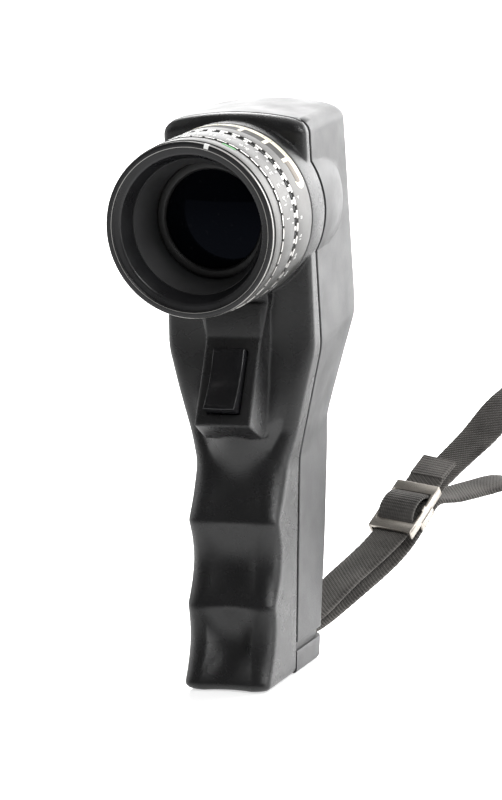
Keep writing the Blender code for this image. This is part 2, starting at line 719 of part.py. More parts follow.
LUG_X = 2.8
TAIL_ROUTE = (
    (LUG_X, 16.2, 8.0, 0.0), (LUG_X, 18.6, 7.7, 0.0), (LUG_X + 0.6, 21.2, 7.6, 0.0), (9.5, 40.0, 14.4, 4.0),
    (17.0, 60.0, 23.4, 6.0),
    (20.3, 72.0, 31.3, 6.0), (21.5, 76.6, 34.3, 6.0), (23.1, 82.2, 37.4, 8.0),
)
LOOP_ROUTE = (
    (LUG_X, 16.2, 4.9, 0.0), (LUG_X, 18.6, 5.2, 0.0), (LUG_X + 0.6, 21.2, 5.2, 0.0), (9.6, 41.0, 10.4, 4.0),
    (17.0, 61.9, 19.3, 6.0), (18.8, 68.4, 23.6, 6.0), (20.6, 74.9, 27.9, 6.0), (25.0, 84.0, 27.6, 8.0),
    (29.0, 93.5, 27.5, 10.0), (34.3, 101.0, 27.8, 10.0), (42.0, 115.0, 21.0, 6.0), (50.0, 130.0, 10.0, 0.0), (58.0, 142.0, 2.4, 0.0), (64.0, 150.0, 0.9, 0.0),
    (69.0, 156.0, 7.0, 0.0), (68.0, 154.0, 19.0, 0.0), (62.0, 146.0, 34.0, 0.0), (54.0, 134.0, 47.0, -6.0),
    (44.5, 119.0, 53.6, -14.0), (35.4, 103.0, 48.6, -22.0), (30.2, 93.0, 41.6, -18.0), (26.2, 86.4, 37.2, -12.0),
    (23.4, 81.2, 34.0, -8.0), (21.6, 76.9, 31.8, -6.0), (20.5, 73.1, 29.4, -6.0), (19.3, 68.6, 26.5, -6.0),
)


def smooth_route(route, pitch):
    """Points about a pitch apart on the smooth curve through a route of (x, y, z, roll in degrees)."""
    knots = [Vector(p) for p in route]
    lengths = [(b - a).xyz.length for a, b in zip(knots, knots[1:])]
    slopes = [(b - a) / length for a, b, length in zip(knots, knots[1:], lengths)]
    heading = [slopes[0]]
    for before, after, short, long in zip(slopes, slopes[1:], lengths, lengths[1:]):
        heading.append((before * long + after * short) / (short + long))
    heading.append(slopes[-1])
    points = [knots[0]]
    for i, length in enumerate(lengths):
        count = max(1, round(length / pitch))
        for k in range(1, count + 1):
            t = k / count
            points.append(
                knots[i] * (2 * t ** 3 - 3 * t ** 2 + 1) + knots[i + 1] * (3 * t ** 2 - 2 * t ** 3)
                + heading[i] * length * (t ** 3 - 2 * t ** 2 + t) + heading[i + 1] * length * (t ** 3 - t ** 2)
            )
    return points


def ribbon_frames(points):
    """For each point: its place, the unit vector across the webbing and the one out of its face."""
    frames = []
    across = Vector((1.0, 0.0, 0.0))
    for i, point in enumerate(points):
        ahead = points[min(i + 1, len(points) - 1)].xyz
        behind = points[max(i - 1, 0)].xyz
        along_it = (ahead - behind).normalized()
        level = Vector((along_it.y, -along_it.x, 0.0))
        across = level.normalized() if level.length > 0.2 else across
        if frames and across.dot(frames[-1][3]) < 0:
            across = -across
        normal = across.cross(along_it)
        roll = math.radians(point.w)
        rolled = across * math.cos(roll) - normal * math.sin(roll)
        out = rolled.cross(along_it)
        frames.append((point.xyz, rolled, out, across))
    return frames


def build_ribbon(name, route, pitch):
    """A strap of flat webbing along a route."""
    bm = bmesh.new()
    rows = []
    for place_at, across, out, _ in ribbon_frames(smooth_route(route, pitch)):
        corners = ((1, 1), (-1, 1), (-1, -1), (1, -1))
        rows.append(
            [bm.verts.new(place_at + across * STRAP_WIDTH / 2 * a + out * STRAP_THICKNESS / 2 * b)
             for a, b in corners]
        )
    for a, b in zip(rows, rows[1:]):
        for i in range(4):
            j = (i + 1) % 4
            bm.faces.new((a[i], a[j], b[j], b[i]))
    bm.faces.new(rows[0])
    bm.faces.new(list(reversed(rows[-1])))
    bmesh.ops.triangulate(bm, faces=bm.faces)
    return from_bmesh(name, bm, WEBBING)


BUCKLE_RAIL = (5.4, 6.4)
BUCKLE_HALF_LENGTH = 8.6
BUCKLE_BAR = 3.2


def build_buckle():
    """The three-bar slide that joins the strap's two layers."""
    low, high = Vector(TAIL_ROUTE[4]), Vector(TAIL_ROUTE[5])
    middle = (low.xyz + high.xyz) / 2
    along_it = (high.xyz - low.xyz).normalized()
    level = Vector((along_it.y, -along_it.x, 0.0)).normalized()
    roll = math.radians(low.w)
    across = level * math.cos(roll) - level.cross(along_it) * math.sin(roll)
    out = across.cross(along_it)
    inner, outer = BUCKLE_RAIL
    half = BUCKLE_HALF_LENGTH
    rail = box("strap_buckle", (inner, -half, -2.9), (outer, half, 1.9), BRIGHT_STEEL)
    pieces = [
        box("buckle_rail", (-outer, -half, -2.9), (-inner, half, 1.9), collection=CUTTERS),
        box("buckle_low_bar", (-inner - 0.5, -half, 1.0), (inner + 0.5, BUCKLE_BAR - half, 1.9),
            collection=CUTTERS),
        box("buckle_high_bar", (-inner - 0.5, half - BUCKLE_BAR, 1.0), (inner + 0.5, half, 1.9),
            collection=CUTTERS),
        box("buckle_middle_bar", (-inner - 0.5, -1.4, -2.7), (inner + 0.5, 1.0, -1.4), collection=CUTTERS),
    ]
    frame = Matrix((across, along_it, out)).transposed().to_4x4()
    frame.translation = middle * MM
    for piece in [rail] + pieces:
        piece.matrix_world = frame
    for piece in pieces:
        combine(rail, piece, "UNION")
    return rail


def build_strap():
    """The pin in the foot, the two lengths of webbing and the slide."""
    pin = [(0.0, -3.2), (PIN_RADIUS, -3.2), (PIN_RADIUS, 8.8), (0.0, 8.8)]
    lug = turned("strap_pin", pin, BRIGHT_STEEL, centre=(0.0, PIN_YZ[0], PIN_YZ[1]), along="Z", steps=12)
    lug.rotation_euler = (0.0, math.pi / 2, 0.0)
    build_ribbon("strap_tail", TAIL_ROUTE, 4.0)
    build_ribbon("strap_loop", LOOP_ROUTE, 4.0)
    build_buckle()


build_front_shell()
build_rear_shell()
build_foot()
build_battery_group()
build_trigger()
build_rings()
build_lens()
build_finder()
for number, (screw_x, screw_z) in enumerate(REAR_SCREWS, start=1):
    build_screw(f"shell_screw_{number}", (screw_x, 0.0, screw_z), SCREW_FACE_Y)
build_strap()
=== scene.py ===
import math

import bmesh
import bpy
from mathutils import Matrix, Vector


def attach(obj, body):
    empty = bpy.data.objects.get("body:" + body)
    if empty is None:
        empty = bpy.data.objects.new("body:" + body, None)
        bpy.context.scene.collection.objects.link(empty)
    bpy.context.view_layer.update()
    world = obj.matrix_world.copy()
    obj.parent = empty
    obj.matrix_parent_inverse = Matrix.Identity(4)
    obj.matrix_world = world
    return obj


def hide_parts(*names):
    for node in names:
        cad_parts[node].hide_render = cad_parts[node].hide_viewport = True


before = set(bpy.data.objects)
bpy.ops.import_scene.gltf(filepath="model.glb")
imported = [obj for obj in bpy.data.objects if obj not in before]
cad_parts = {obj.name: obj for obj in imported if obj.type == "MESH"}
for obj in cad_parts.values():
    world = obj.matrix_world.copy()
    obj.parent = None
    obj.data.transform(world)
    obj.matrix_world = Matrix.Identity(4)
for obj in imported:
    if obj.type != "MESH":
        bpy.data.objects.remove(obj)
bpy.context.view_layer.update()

MM = 0.001

# ---------------------------------------------------------------- camera, in metres

CAMERA_SPOT = (0.4444, -1.1423, 0.3140)
CAMERA_RIGHT = (0.93489, 0.35181, -0.04706)
CAMERA_UP = (-0.02571, 0.19936, 0.97960)
CAMERA_BACK = (0.35401, -0.91460, 0.19543)

camera = bpy.data.objects.new("camera", bpy.data.cameras.new("camera"))
bpy.context.scene.collection.objects.link(camera)
camera_axes = Matrix((CAMERA_RIGHT, CAMERA_UP, CAMERA_BACK)).transposed()
camera.matrix_world = Matrix.Translation(CAMERA_SPOT) @ camera_axes.to_4x4()
camera.data.sensor_width = 36.0
camera.data.lens = 225.0
camera.data.clip_start = 0.01
camera.data.clip_end = 50.0
bpy.context.scene.camera = camera
bpy.context.scene.view_settings.view_transform = "Standard"
bpy.context.scene.view_settings.look = "None"

# ---------------------------------------------------------------- dimensions, in millimetres

HEIGHT = 141.7
HEAD_HALF_WIDTH = 19.5
HEAD_TOP_HALF_WIDTH = 18.9
GRIP_HALF_WIDTH = 12.3
BASE_HALF_WIDTH = 11.3
HEAD_BOTTOM = 83.0
GRIP_TOP = 54.3
DOME_DROP = 2.35
TOP_RADIUS = 3.0
WALL = 1.8
SEAM_GAP = 0.5
SEAM_SHOWN = 1.0
SEAM_HEAD_Y = 5.9
SEAM_BASE_Y = -0.8
BASE_REAR_Y = 19.4
CRESTS = ((62.5, 0.2, -9.0), (41.0, -9.9, -11.8), (20.5, -14.1, -16.0), (1.9, -19.4, -20.6))
SCOOPS = ((2.3, 4.3), (4.0, 4.0), (2.8, 3.9))
BASE_RADIUS = 1.9
AXIS_Z = 118.0
RING_RADIUS = 22.2
COLLAR_FRONT_Y = -3.6
RIM_FRONT_Y = -30.3
RIM_RADIUS = 21.8
THREAD_RADIUS = 20.25
BARREL_RADIUS = 19.0
CLEAR = 0.3
FACE_TOP = (-4.1, 86.4)
FACE_BOTTOM = (-15.1, 66.3)
BUMP_HALF_WIDTH = 7.3
TRIGGER_HALF_WIDTH = 4.1
TRIGGER_LENGTH = 16.4
BATTERY_Y = 8.4
FOOT_HEIGHT = 5.6
STRAP_WIDTH = 10.0
STRAP_THICKNESS = 1.2

# ---------------------------------------------------------------- materials


class Look:
    """A procedural material on one Principled shader."""

    def __init__(self, name):
        self.material = bpy.data.materials.new(name)
        self.material.use_nodes = True
        self.tree = self.material.node_tree
        self.shader = self.tree.nodes["Principled BSDF"]

    def add(self, kind, settings=None, **sockets):
        node = self.tree.nodes.new(kind)
        for key, value in (settings or {}).items():
            setattr(node, key, value)
        for key, value in sockets.items():
            self.feed(node.inputs[key.replace("_", " ")], value)
        return node

    def feed(self, socket, value):
        if isinstance(value, bpy.types.NodeSocket):
            self.tree.links.new(value, socket)
        elif socket.type == "RGBA":
            socket.default_value = (*value[:3], 1.0)
        else:
            socket.default_value = value

    def set(self, **sockets):
        for key, value in sockets.items():
            self.feed(self.shader.inputs[key.replace("_", " ")], value)

    def place(self, which="Object"):
        return self.add("ShaderNodeTexCoord").outputs[which]

    def noise(self, scale, detail=3.0, vector=None):
        node = self.add("ShaderNodeTexNoise", None, Scale=scale, Detail=detail)
        self.feed(node.inputs["Vector"], vector or self.place())
        return node.outputs["Fac"]

    def mottled(self, cloud, colour, amount):
        """A colour that a noise varies by a share either way."""
        share = self.spread(cloud, 0.0, 1.0)
        return self.mix(share, tinted(colour, 1 - amount), tinted(colour, 1 + amount))

    def spread(self, value, low, high, start=0.3, end=0.7):
        node = self.add("ShaderNodeMapRange", None)
        self.feed(node.inputs["Value"], value)
        for key, number in (("From Min", start), ("From Max", end), ("To Min", low), ("To Max", high)):
            node.inputs[key].default_value = number
        return node.outputs["Result"]

    def mix(self, share, first, second):
        node = self.add("ShaderNodeMix", {"data_type": "RGBA"})
        self.feed(node.inputs[0], share)
        self.feed(node.inputs[6], first)
        self.feed(node.inputs[7], second)
        return node.outputs[2]

    def bump(self, height, distance, strength=1.0, normal=None):
        node = self.add("ShaderNodeBump", None, Height=height, Distance=distance, Strength=strength)
        if normal is not None:
            self.feed(node.inputs["Normal"], normal)
        return node.outputs["Normal"]

    def rounded_edges(self, radius):
        return self.add("ShaderNodeBevel", {"samples": 4}, Radius=radius).outputs["Normal"]


def tinted(colour, factor):
    return [min(c * factor, 1.0) for c in colour]


PLASTIC_MOTTLE = 0.18
METAL_MOTTLE = 0.12


def plastic(name, colour, roughness, grain, depth, edge=0.0, dust=0.0):
    """Moulded plastic with a fine grain, slightly uneven sheen and lighter edges: partly wear, partly a
    painted highlight on the crests.
    """
    look = Look(name)
    cloudy = look.noise(45.0, 4.0)
    base = look.mottled(cloudy, colour, PLASTIC_MOTTLE)
    if dust:
        specks = look.spread(look.noise(2400.0, 2.0), 0.0, dust, 0.66, 0.74)
        base = look.mix(specks, base, (0.35, 0.34, 0.33))
    # Convex edges and crests are lightened from pointiness: partly edge wear, partly a painted highlight
    # along the crests.
    worn = look.add("ShaderNodeNewGeometry").outputs["Pointiness"]
    base = look.mix(look.spread(worn, 0.0, 0.35, 0.515, 0.60), base, tinted(colour, 3.0))
    fine = look.noise(grain, 2.0)
    normal = look.rounded_edges(edge) if edge else None
    look.set(
        Base_Color=base,
        Roughness=look.spread(look.noise(140.0, 3.0), roughness - 0.05, roughness + 0.05),
        Normal=look.bump(fine, depth, 1.0, normal),
    )
    return look.material


def turned_metal(name, colour, roughness, metallic=1.0, depth=0.000012):
    """Metal turned on a lathe: fine rings round the lens axis, with slight stains."""
    look = Look(name)
    split = look.add("ShaderNodeSeparateXYZ")
    look.feed(split.inputs[0], look.place())
    rings = look.add("ShaderNodeTexNoise", {"noise_dimensions": "1D"}, Scale=9000.0, Detail=2.0)
    look.feed(rings.inputs["W"], split.outputs["Y"])
    stain = look.noise(120.0, 5.0)
    base = look.mottled(stain, colour, METAL_MOTTLE)
    base = look.mix(look.spread(rings.outputs["Fac"], 0.0, 0.25), base, tinted(colour, 0.6))
    look.set(
        Base_Color=base,
        Metallic=metallic,
        Roughness=look.spread(stain, roughness - 0.06, roughness + 0.08),
        Normal=look.bump(rings.outputs["Fac"], depth),
    )
    return look.material


def metal(name, colour, roughness, scratch=(1.0, 1.0, 14.0), mottle=METAL_MOTTLE):
    """Brushed or plated metal with scratches that run one way and faint stains."""
    look = Look(name)
    mapping = look.add("ShaderNodeMapping", None, Scale=scratch)
    look.feed(mapping.inputs["Vector"], look.place())
    lines = look.noise(1500.0, 3.0, mapping.outputs[0])
    stain = look.noise(260.0, 4.0)
    look.set(
        Base_Color=look.mottled(stain, colour, mottle),
        Metallic=1.0,
        Roughness=look.spread(lines, roughness - 0.06, roughness + 0.08),
        Normal=look.bump(lines, 0.00001),
    )
    return look.material


def paint(name, colour, roughness, mottle=0.10):
    """Printed or filled paint with slightly uneven colour."""
    look = Look(name)
    cloudy = look.noise(700.0, 4.0)
    look.set(
        Base_Color=look.mottled(cloudy, colour, mottle),
        Roughness=look.spread(cloudy, roughness - 0.05, roughness + 0.05),
        Normal=look.bump(look.noise(2500.0, 2.0), 0.000004),
    )
    return look.material


def glass(name, colour, grazing_sheen):
    """Coated lens glass over a dark barrel, lighter at grazing angles as a painted sheen, with faint dust."""
    look = Look(name)
    # The base colour lightens towards grazing angles: a painted sheen.
    facing = look.add("ShaderNodeLayerWeight", None, Blend=0.35).outputs["Facing"]
    base = look.mix(look.spread(facing, 0.0, 1.0, 0.0, 1.0), colour, grazing_sheen)
    dust = look.spread(look.noise(520.0, 4.0), 0.0, 0.012, 0.64, 0.75)
    look.set(
        Base_Color=look.mix(dust, base, (0.5, 0.5, 0.5)),
        Roughness=look.spread(look.noise(300.0, 3.0), 0.02, 0.06),
        Specular_IOR_Level=0.04,
        Specular_Tint=(0.6, 0.7, 1.0),
    )
    return look.material


def webbing(name, colour, worn=0.0, ribs=False):
    """Twill webbing from its own UV map, which is in millimetres along and across the strap."""
    look = Look(name)
    split = look.add("ShaderNodeSeparateXYZ")
    look.feed(split.inputs[0], look.place("UV"))
    along, across = split.outputs["X"], split.outputs["Y"]

    def maths(kind, first, second=0.0):
        node = look.add("ShaderNodeMath", {"operation": kind})
        look.feed(node.inputs[0], first)
        look.feed(node.inputs[1], second)
        return node.outputs[0]

    if ribs:
        diagonal = maths("MULTIPLY", along, 2 * math.pi / 0.85)
    else:
        diagonal = maths("MULTIPLY", maths("ADD", along, maths("MULTIPLY", across, 0.75)), 2 * math.pi / 1.05)
    threads = maths("SINE", maths("MULTIPLY", across, 2 * math.pi / 0.52))
    twill = maths("ADD", maths("MULTIPLY", maths("SINE", diagonal), 0.5), maths("MULTIPLY", threads, 0.28))
    fuzz = look.noise(3200.0, 3.0)
    height = maths("ADD", maths("ADD", twill, 0.8), maths("MULTIPLY", fuzz, 0.9))
    # The weave's tone follows its height: painted shade in the hollows and painted light on the thread tops.
    shade = look.spread(height, 0.0, 1.0, 0.3, 2.2)
    base = look.mix(shade, tinted(colour, 0.35), tinted(colour, 1.7))
    patches = look.spread(look.noise(130.0, 3.0), 0.0, 0.35 + worn)
    base = look.mix(patches, base, tinted((0.16, 0.15, 0.14), 1.0 + worn))
    look.set(
        Base_Color=base,
        Roughness=0.92,
        Sheen_Weight=0.32,
        Sheen_Roughness=0.5,
        Sheen_Tint=(0.75, 0.72, 0.68),
        Normal=look.bump(height, 0.00016, 0.9),
    )
    return look.material


def board(name):
    """A green circuit board with copper tracks under its lacquer."""
    look = Look(name)
    tracks = look.add("ShaderNodeTexBrick", None, Scale=260.0)
    look.feed(tracks.inputs["Vector"], look.place())
    look.set(
        Base_Color=look.mix(look.spread(tracks.outputs["Fac"], 0.0, 0.5, 0.0, 1.0),
                            (0.02, 0.12, 0.05), (0.10, 0.24, 0.10)),
        Roughness=look.spread(look.noise(200.0), 0.25, 0.4),
        Normal=look.bump(tracks.outputs["Fac"], 0.00003),
    )
    return look.material


FRONT_PLASTIC = plastic("front_plastic", (0.0090, 0.0090, 0.0094), 0.27, 5200.0, 0.00006, 0.0010, dust=0.04)
REAR_PLASTIC = plastic("rear_plastic", (0.030, 0.030, 0.031), 0.40, 3600.0, 0.00005, 0.0003)
TRIGGER_PLASTIC = plastic("trigger_plastic", (0.006, 0.006, 0.007), 0.12, 300.0, 0.000004, 0.0002, dust=0.05)
RING_METAL = turned_metal("ring_metal", (0.105, 0.103, 0.100), 0.38, 0.85)
# A lighter copy of the ring metal for the raised dashes: partly worn bright tops, partly a painted highlight
# on the knurl's edges.
LUG_METAL = turned_metal("lug_metal", (0.55, 0.54, 0.52), 0.26)
RIM_METAL = turned_metal("rim_metal", (0.012, 0.012, 0.013), 0.30, 0.2, 0.00001)
INNER_METAL = turned_metal("inner_metal", (0.030, 0.030, 0.031), 0.45, 0.1, 0.000004)
# Bright edge metal: partly wear, partly a painted highlight along the rim's edges.
EDGE_METAL = turned_metal("edge_metal", (0.50, 0.49, 0.47), 0.30)
# Near-black: painted shade in the ring grooves, painted shadow in the joint between the shells, and the black
# lens retainer.
SHADE_AND_BLACK_PAINT = paint("shade_and_black_paint", (0.006, 0.006, 0.006), 0.5)
MARK_PAINT = paint("mark_paint", (0.88, 0.88, 0.86), 0.5)
GREEN_PAINT = paint("green_paint", (0.05, 0.42, 0.08), 0.45)
CREAM_PAINT = paint("cream_paint", (0.80, 0.74, 0.56), 0.38, 0.05)
WINDOW_PAINT = paint("window_paint", (0.022, 0.019, 0.017), 0.60)
WINDOW_TAN = paint("window_tan", (0.15, 0.12, 0.09), 0.50)
COATED_GLASS = glass("coated_glass", (0.0010, 0.0012, 0.0020), (0.004, 0.0045, 0.006))
CLEAR_GLASS = glass("clear_glass", (0.02, 0.022, 0.026), (0.10, 0.10, 0.12))
STEEL = metal("steel", (0.55, 0.55, 0.53), 0.30)
DARK_STEEL = metal("dark_steel", (0.06, 0.06, 0.062), 0.32)
NICKEL = metal("nickel", (0.50, 0.465, 0.42), 0.32, (1.0, 9.0, 1.0), 0.08)
BRASS = metal("brass", (0.68, 0.48, 0.20), 0.30)
RUBBER = plastic("rubber", (0.012, 0.012, 0.012), 0.75, 1500.0, 0.00006)
WEBBING = webbing("webbing", (0.020, 0.018, 0.016))
# A darker copy of the strap's webbing for the strand over the slide's middle bar: painted shade.
HUMP_WEBBING = webbing("hump_webbing", (0.014, 0.013, 0.012), 0.0, ribs=True)
TAB_WEBBING = webbing("tab_webbing", (0.030, 0.028, 0.027), 0.25, ribs=True)
BOARD = board("board")
CHIP = plastic("chip", (0.012, 0.012, 0.012), 0.45, 2500.0, 0.00003)
RED_DISPLAY = paint("red_display", (0.30, 0.012, 0.012), 0.15)
SLEEVE_PRINT = paint("sleeve_print", (0.08, 0.12, 0.28), 0.35)

# ---------------------------------------------------------------- making pieces


def piece(name, bm, look, body, replaced=(), smooth=40.0):
    """A mesh in millimetres as a piece of the object that rides on a body."""
    mesh = bpy.data.meshes.new(name)
    bmesh.ops.recalc_face_normals(bm, faces=bm.faces)
    bmesh.ops.scale(bm, vec=(MM, MM, MM), verts=bm.verts)
    bm.to_mesh(mesh)
    bm.free()
    thing = bpy.data.objects.new(name, mesh)
    bpy.context.scene.collection.objects.link(thing)
    for each in look if isinstance(look, (list, tuple)) else (look,):
        mesh.materials.append(each)
    if smooth:
        mesh.shade_smooth()
        mesh.set_sharp_from_angle(angle=math.radians(smooth))
    if body:
        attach(thing, body)
        if replaced:
            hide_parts(*replaced)
    return thing


def rounded(points, radius, steps=3):
    """A closed profile with each corner turned into a short curve."""
    made = []
    for i, corner in enumerate(points):
        here = Vector(corner)
        before, after = Vector(points[i - 1]), Vector(points[(i + 1) % len(points)])
        reach_in = min(radius, (before - here).length * 0.45)
        reach_out = min(radius, (after - here).length * 0.45)
        start = here + (before - here).normalized() * reach_in
        end = here + (after - here).normalized() * reach_out
        for k in range(steps + 1):
            t = k / steps
            made.append(tuple(start * (1 - t) ** 2 + here * 2 * t * (1 - t) + end * t * t))
    return made


def lathe(profile, centre=(0.0, 0.0, AXIS_Z), along="Y", steps=144, closed=True, first=0.0,
          sweep=2 * math.pi):
    """A bmesh turned from a profile of (radius, distance along the axis)."""
    bm = bmesh.new()
    whole = abs(sweep - 2 * math.pi) < 1e-6
    rows = []
    for k in range(steps if whole else steps + 1):
        turn = first + sweep * k / steps
        cos, sin = math.cos(turn), math.sin(turn)
        row = []
        for r, h in profile:
            spot = (r * cos, h, r * sin) if along == "Y" else (r * cos, r * sin, h)
            row.append(bm.verts.new(Vector(spot) + Vector(centre)))
        rows.append(row)
    pairs = list(zip(rows, rows[1:] + rows[:1])) if whole else list(zip(rows, rows[1:]))
    for a, b in pairs:
        for i in range(len(profile) - (0 if closed else 1)):
            j = (i + 1) % len(profile)
            bm.faces.new((a[i], a[j], b[j], b[i]))
    if not whole and closed:
        bm.faces.new(rows[0])
        bm.faces.new(list(reversed(rows[-1])))
    bmesh.ops.remove_doubles(bm, verts=bm.verts, dist=0.0005)
    return bm


def rod(radius, start, end, centre=(0.0, 0.0, AXIS_Z), along="Y", steps=144):
    """A plain round bar."""
    return lathe([(0.0, start), (radius, start), (radius, end), (0.0, end)], centre, along, steps, False)


def join(target, source, material_index=0):
    """Add one bmesh to another with its faces on a material slot."""
    offset = {}
    for v in source.verts:
        offset[v] = target.verts.new(v.co)
    for f in source.faces:
        try:
            made = target.faces.new([offset[v] for v in f.verts])
            made.material_index = material_index
        except ValueError:
            pass
    source.free()
    return target


def block(low, high, bevel=0.0):
    """A box as a bmesh, with rounded edges."""
    bm = bmesh.new()
    bmesh.ops.create_cube(bm, size=1.0)
    for v in bm.verts:
        v.co = Vector([(lo + hi) / 2 + c * (hi - lo) for c, lo, hi in zip(v.co, low, high)])
    if bevel:
        bmesh.ops.bevel(bm, geom=list(bm.edges), offset=bevel, segments=3, affect="EDGES", profile=0.5)
    return bm


def solid(name, bm):
    """A loose object from a bmesh in millimetres, for Boolean work."""
    return piece(name, bm, (), None, smooth=0)


def combine(thing, bm, operation):
    """Apply a Boolean with the solid of a bmesh."""
    other = solid("cutter", bm)
    step = thing.modifiers.new("step", "BOOLEAN")
    step.operation = operation
    step.solver = "EXACT"
    step.object = other
    graph = bpy.context.evaluated_depsgraph_get()
    result = bpy.data.meshes.new_from_object(thing.evaluated_get(graph))
    thing.modifiers.clear()
    thing.data = result
    bpy.data.objects.remove(other)


def add(thing, *shapes):
    for bm in shapes:
        combine(thing, bm, "UNION")


def cut(thing, *shapes):
    for bm in shapes:
        combine(thing, bm, "DIFFERENCE")


def finish_solid(thing, name, look, body, replaced, smooth=35.0):
    """Turn a loose Boolean result into a piece."""
    mesh = thing.data
    mesh.materials.clear()
    mesh.materials.append(look)
    mesh.shade_smooth()
    mesh.set_sharp_from_angle(angle=math.radians(smooth))
    thing.name = name
    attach(thing, body)
    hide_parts(*replaced)


# ---------------------------------------------------------------- body shells


def between(stops, z):
    """Straight interpolation through (z, value) stops given from the top down."""
    if z >= stops[0][0]:
        return stops[0][1]
    for (za, a), (zb, b) in zip(stops, stops[1:]):
        if z >= zb:
            return b + (a - b) * (z - zb) / (za - zb)
    return stops[-1][1]


def eased(stops, z, reach=1.6):
    """The same with its corners softened over a short reach."""
    return sum(between(stops, z + reach * k / 3) for k in range(-3, 4)) / 7


HALF_WIDTH = ((138.0, HEAD_TOP_HALF_WIDTH), (HEAD_BOTTOM, HEAD_HALF_WIDTH), (GRIP_TOP, GRIP_HALF_WIDTH),
              (0.0, BASE_HALF_WIDTH))
SEAM = ((GRIP_TOP, SEAM_HEAD_Y), (0.0, SEAM_BASE_Y))
REAR = ((HEIGHT, 34.4), (87.0, 35.2), (62.3, 31.5), (49.6, 30.2), (0.0, BASE_REAR_Y))
LEAN = ((112.0, 0.0), (HEAD_BOTTOM, 0.147), (GRIP_TOP, 0.31), (30.0, 0.0))


def half_width(z):
    return eased(HALF_WIDTH, z)


def seam(z):
    return eased(SEAM, z, 1.2)


def rear(z):
    return eased(REAR, z, 2.4)


def lean(z):
    return eased(LEAN, z, 3.0)


def raw_front(z):
    """Y of the front surface at a height: where the side ends, and on the centre plane."""
    top = CRESTS[0][0]
    if z >= top:
        side = between(((HEIGHT, 3.8), (84.0, 1.4), (72.0, 0.3), (top, CRESTS[0][1])), z)
        middle = between(((HEIGHT, 1.2), (84.0, -0.8), (74.0, -2.8), (top, CRESTS[0][2])), z)
        return side, middle
    for (za, sa, ca), (zb, sb, cb), (side_scoop, middle_scoop) in zip(CRESTS, CRESTS[1:], SCOOPS):
        if z >= zb:
            t = (za - z) / (za - zb)
            scoop = math.sin(math.pi * t) ** 0.9 if 0 < t < 1 else 0.0
            return sa + (sb - sa) * t + side_scoop * scoop, ca + (cb - ca) * t + middle_scoop * scoop
    return CRESTS[-1][1:]


def front(z):
    """The front with its crests rounded off."""
    reach = 0.55 if z < CRESTS[0][0] + 2.0 else 2.0
    samples = [raw_front(max(z + reach * k / 3, BASE_RADIUS)) for k in range(-3, 4)]
    return sum(s for s, _ in samples) / 7, sum(m for _, m in samples) / 7


def scoop_share(z):
    """0 on a crest between two fingers, rising to 1 in the middle of a scoop."""
    for (high, *_), (low, *_) in zip(CRESTS, CRESTS[1:]):
        if low < z < high:
            return math.sin(math.pi * (high - z) / (high - low))
    return 0.0


def dome(x, z):
    """How far the domed top has dropped at x, fading out below the top."""
    fade = min(max((z - 112.0) / (HEIGHT - 112.0), 0.0), 1.0)
    return DOME_DROP * (x / HEAD_TOP_HALF_WIDTH) ** 2 * fade


CORNER_STEPS = 8
FACE_STEPS = 7


def outline(z, shrink, behind):
    """Half a section: (x, y) from +X to -X round the front, or round the rear when behind is true."""
    half = half_width(z) - shrink
    if behind:
        end_y = rear(z) - shrink
        corner = (3.6, 4.2)
        side_y, face_y, middle_y = end_y - corner[1], end_y, end_y
    else:
        side_y, middle_y = front(z)
        side_y += shrink
        middle_y += shrink
        share = min(max((z - HEAD_BOTTOM + 6.0) / 12.0, 0.0), 1.0)
        soft = scoop_share(z)
        corner = (3.6 - 0.4 * share + 1.9 * soft, 2.2 - 0.6 * share + 1.6 * soft)
        face_y = side_y - corner[1]
    points = []
    for k in range(CORNER_STEPS + 1):
        turn = math.pi / 2 * k / CORNER_STEPS
        points.append((half - corner[0] * (1 - math.cos(turn)), side_y + (face_y - side_y) * math.sin(turn)))
    flat = half - corner[0]
    for k in range(1, FACE_STEPS + 1):
        x = flat * (1 - k / FACE_STEPS)
        points.append((x, middle_y + (face_y - middle_y) * (x / flat) ** 2))
    return points + [(-x, y) for x, y in reversed(points[:-1])]


def section(z, shrink, behind, offset):
    """A row of points from the seam round the outline and back to the seam."""
    curve = outline(z, shrink, behind)
    at_seam = seam(z) + offset
    (x, y), sides = curve[0], 5
    side = [(x, at_seam + (y - at_seam) * k / sides) for k in range(sides)]
    row = side + curve + [(-x, y) for x, y in reversed(side)]
    rise = lean(z) if behind else 0.0
    return [(x, y, z - dome(x, z) + rise * max(y - SEAM_HEAD_Y, 0.0)) for x, y in row]


def to_seam(row, offset):
    return [(x, seam(z) + offset, z) for x, _, z in row]


def levels(bottom, base_radius):
    """Heights of the sections with the amount each is drawn in, from the bottom up."""
    made = []
    for k in range(7 if base_radius else 0):
        turn = math.pi / 2 * k / 7
        made.append((bottom + base_radius * (1 - math.cos(turn)), base_radius * (1 - math.sin(turn))))
    z = bottom + base_radius
    while z < HEIGHT - TOP_RADIUS:
        made.append((z, 0.0))
        z += 0.75 if z < 66.0 else 1.5
    for k in range(9):
        turn = math.pi / 2 * k / 8
        made.append((HEIGHT - TOP_RADIUS * (1 - math.sin(turn)), TOP_RADIUS * (1 - math.cos(turn))))
    return made


def skin(rows, closed):
    """A bmesh of faces between neighbouring rows of points, each row a loop when closed is true."""
    bm = bmesh.new()
    grid = [[bm.verts.new(p) for p in row] for row in rows]
    for low, high in zip(grid, grid[1:]):
        count = len(low)
        for i in range(count if closed else count - 1):
            j = (i + 1) % count
            bm.faces.new((low[i], low[j], high[j], high[i]))
    bmesh.ops.remove_doubles(bm, verts=bm.verts, dist=0.002)
    return bm


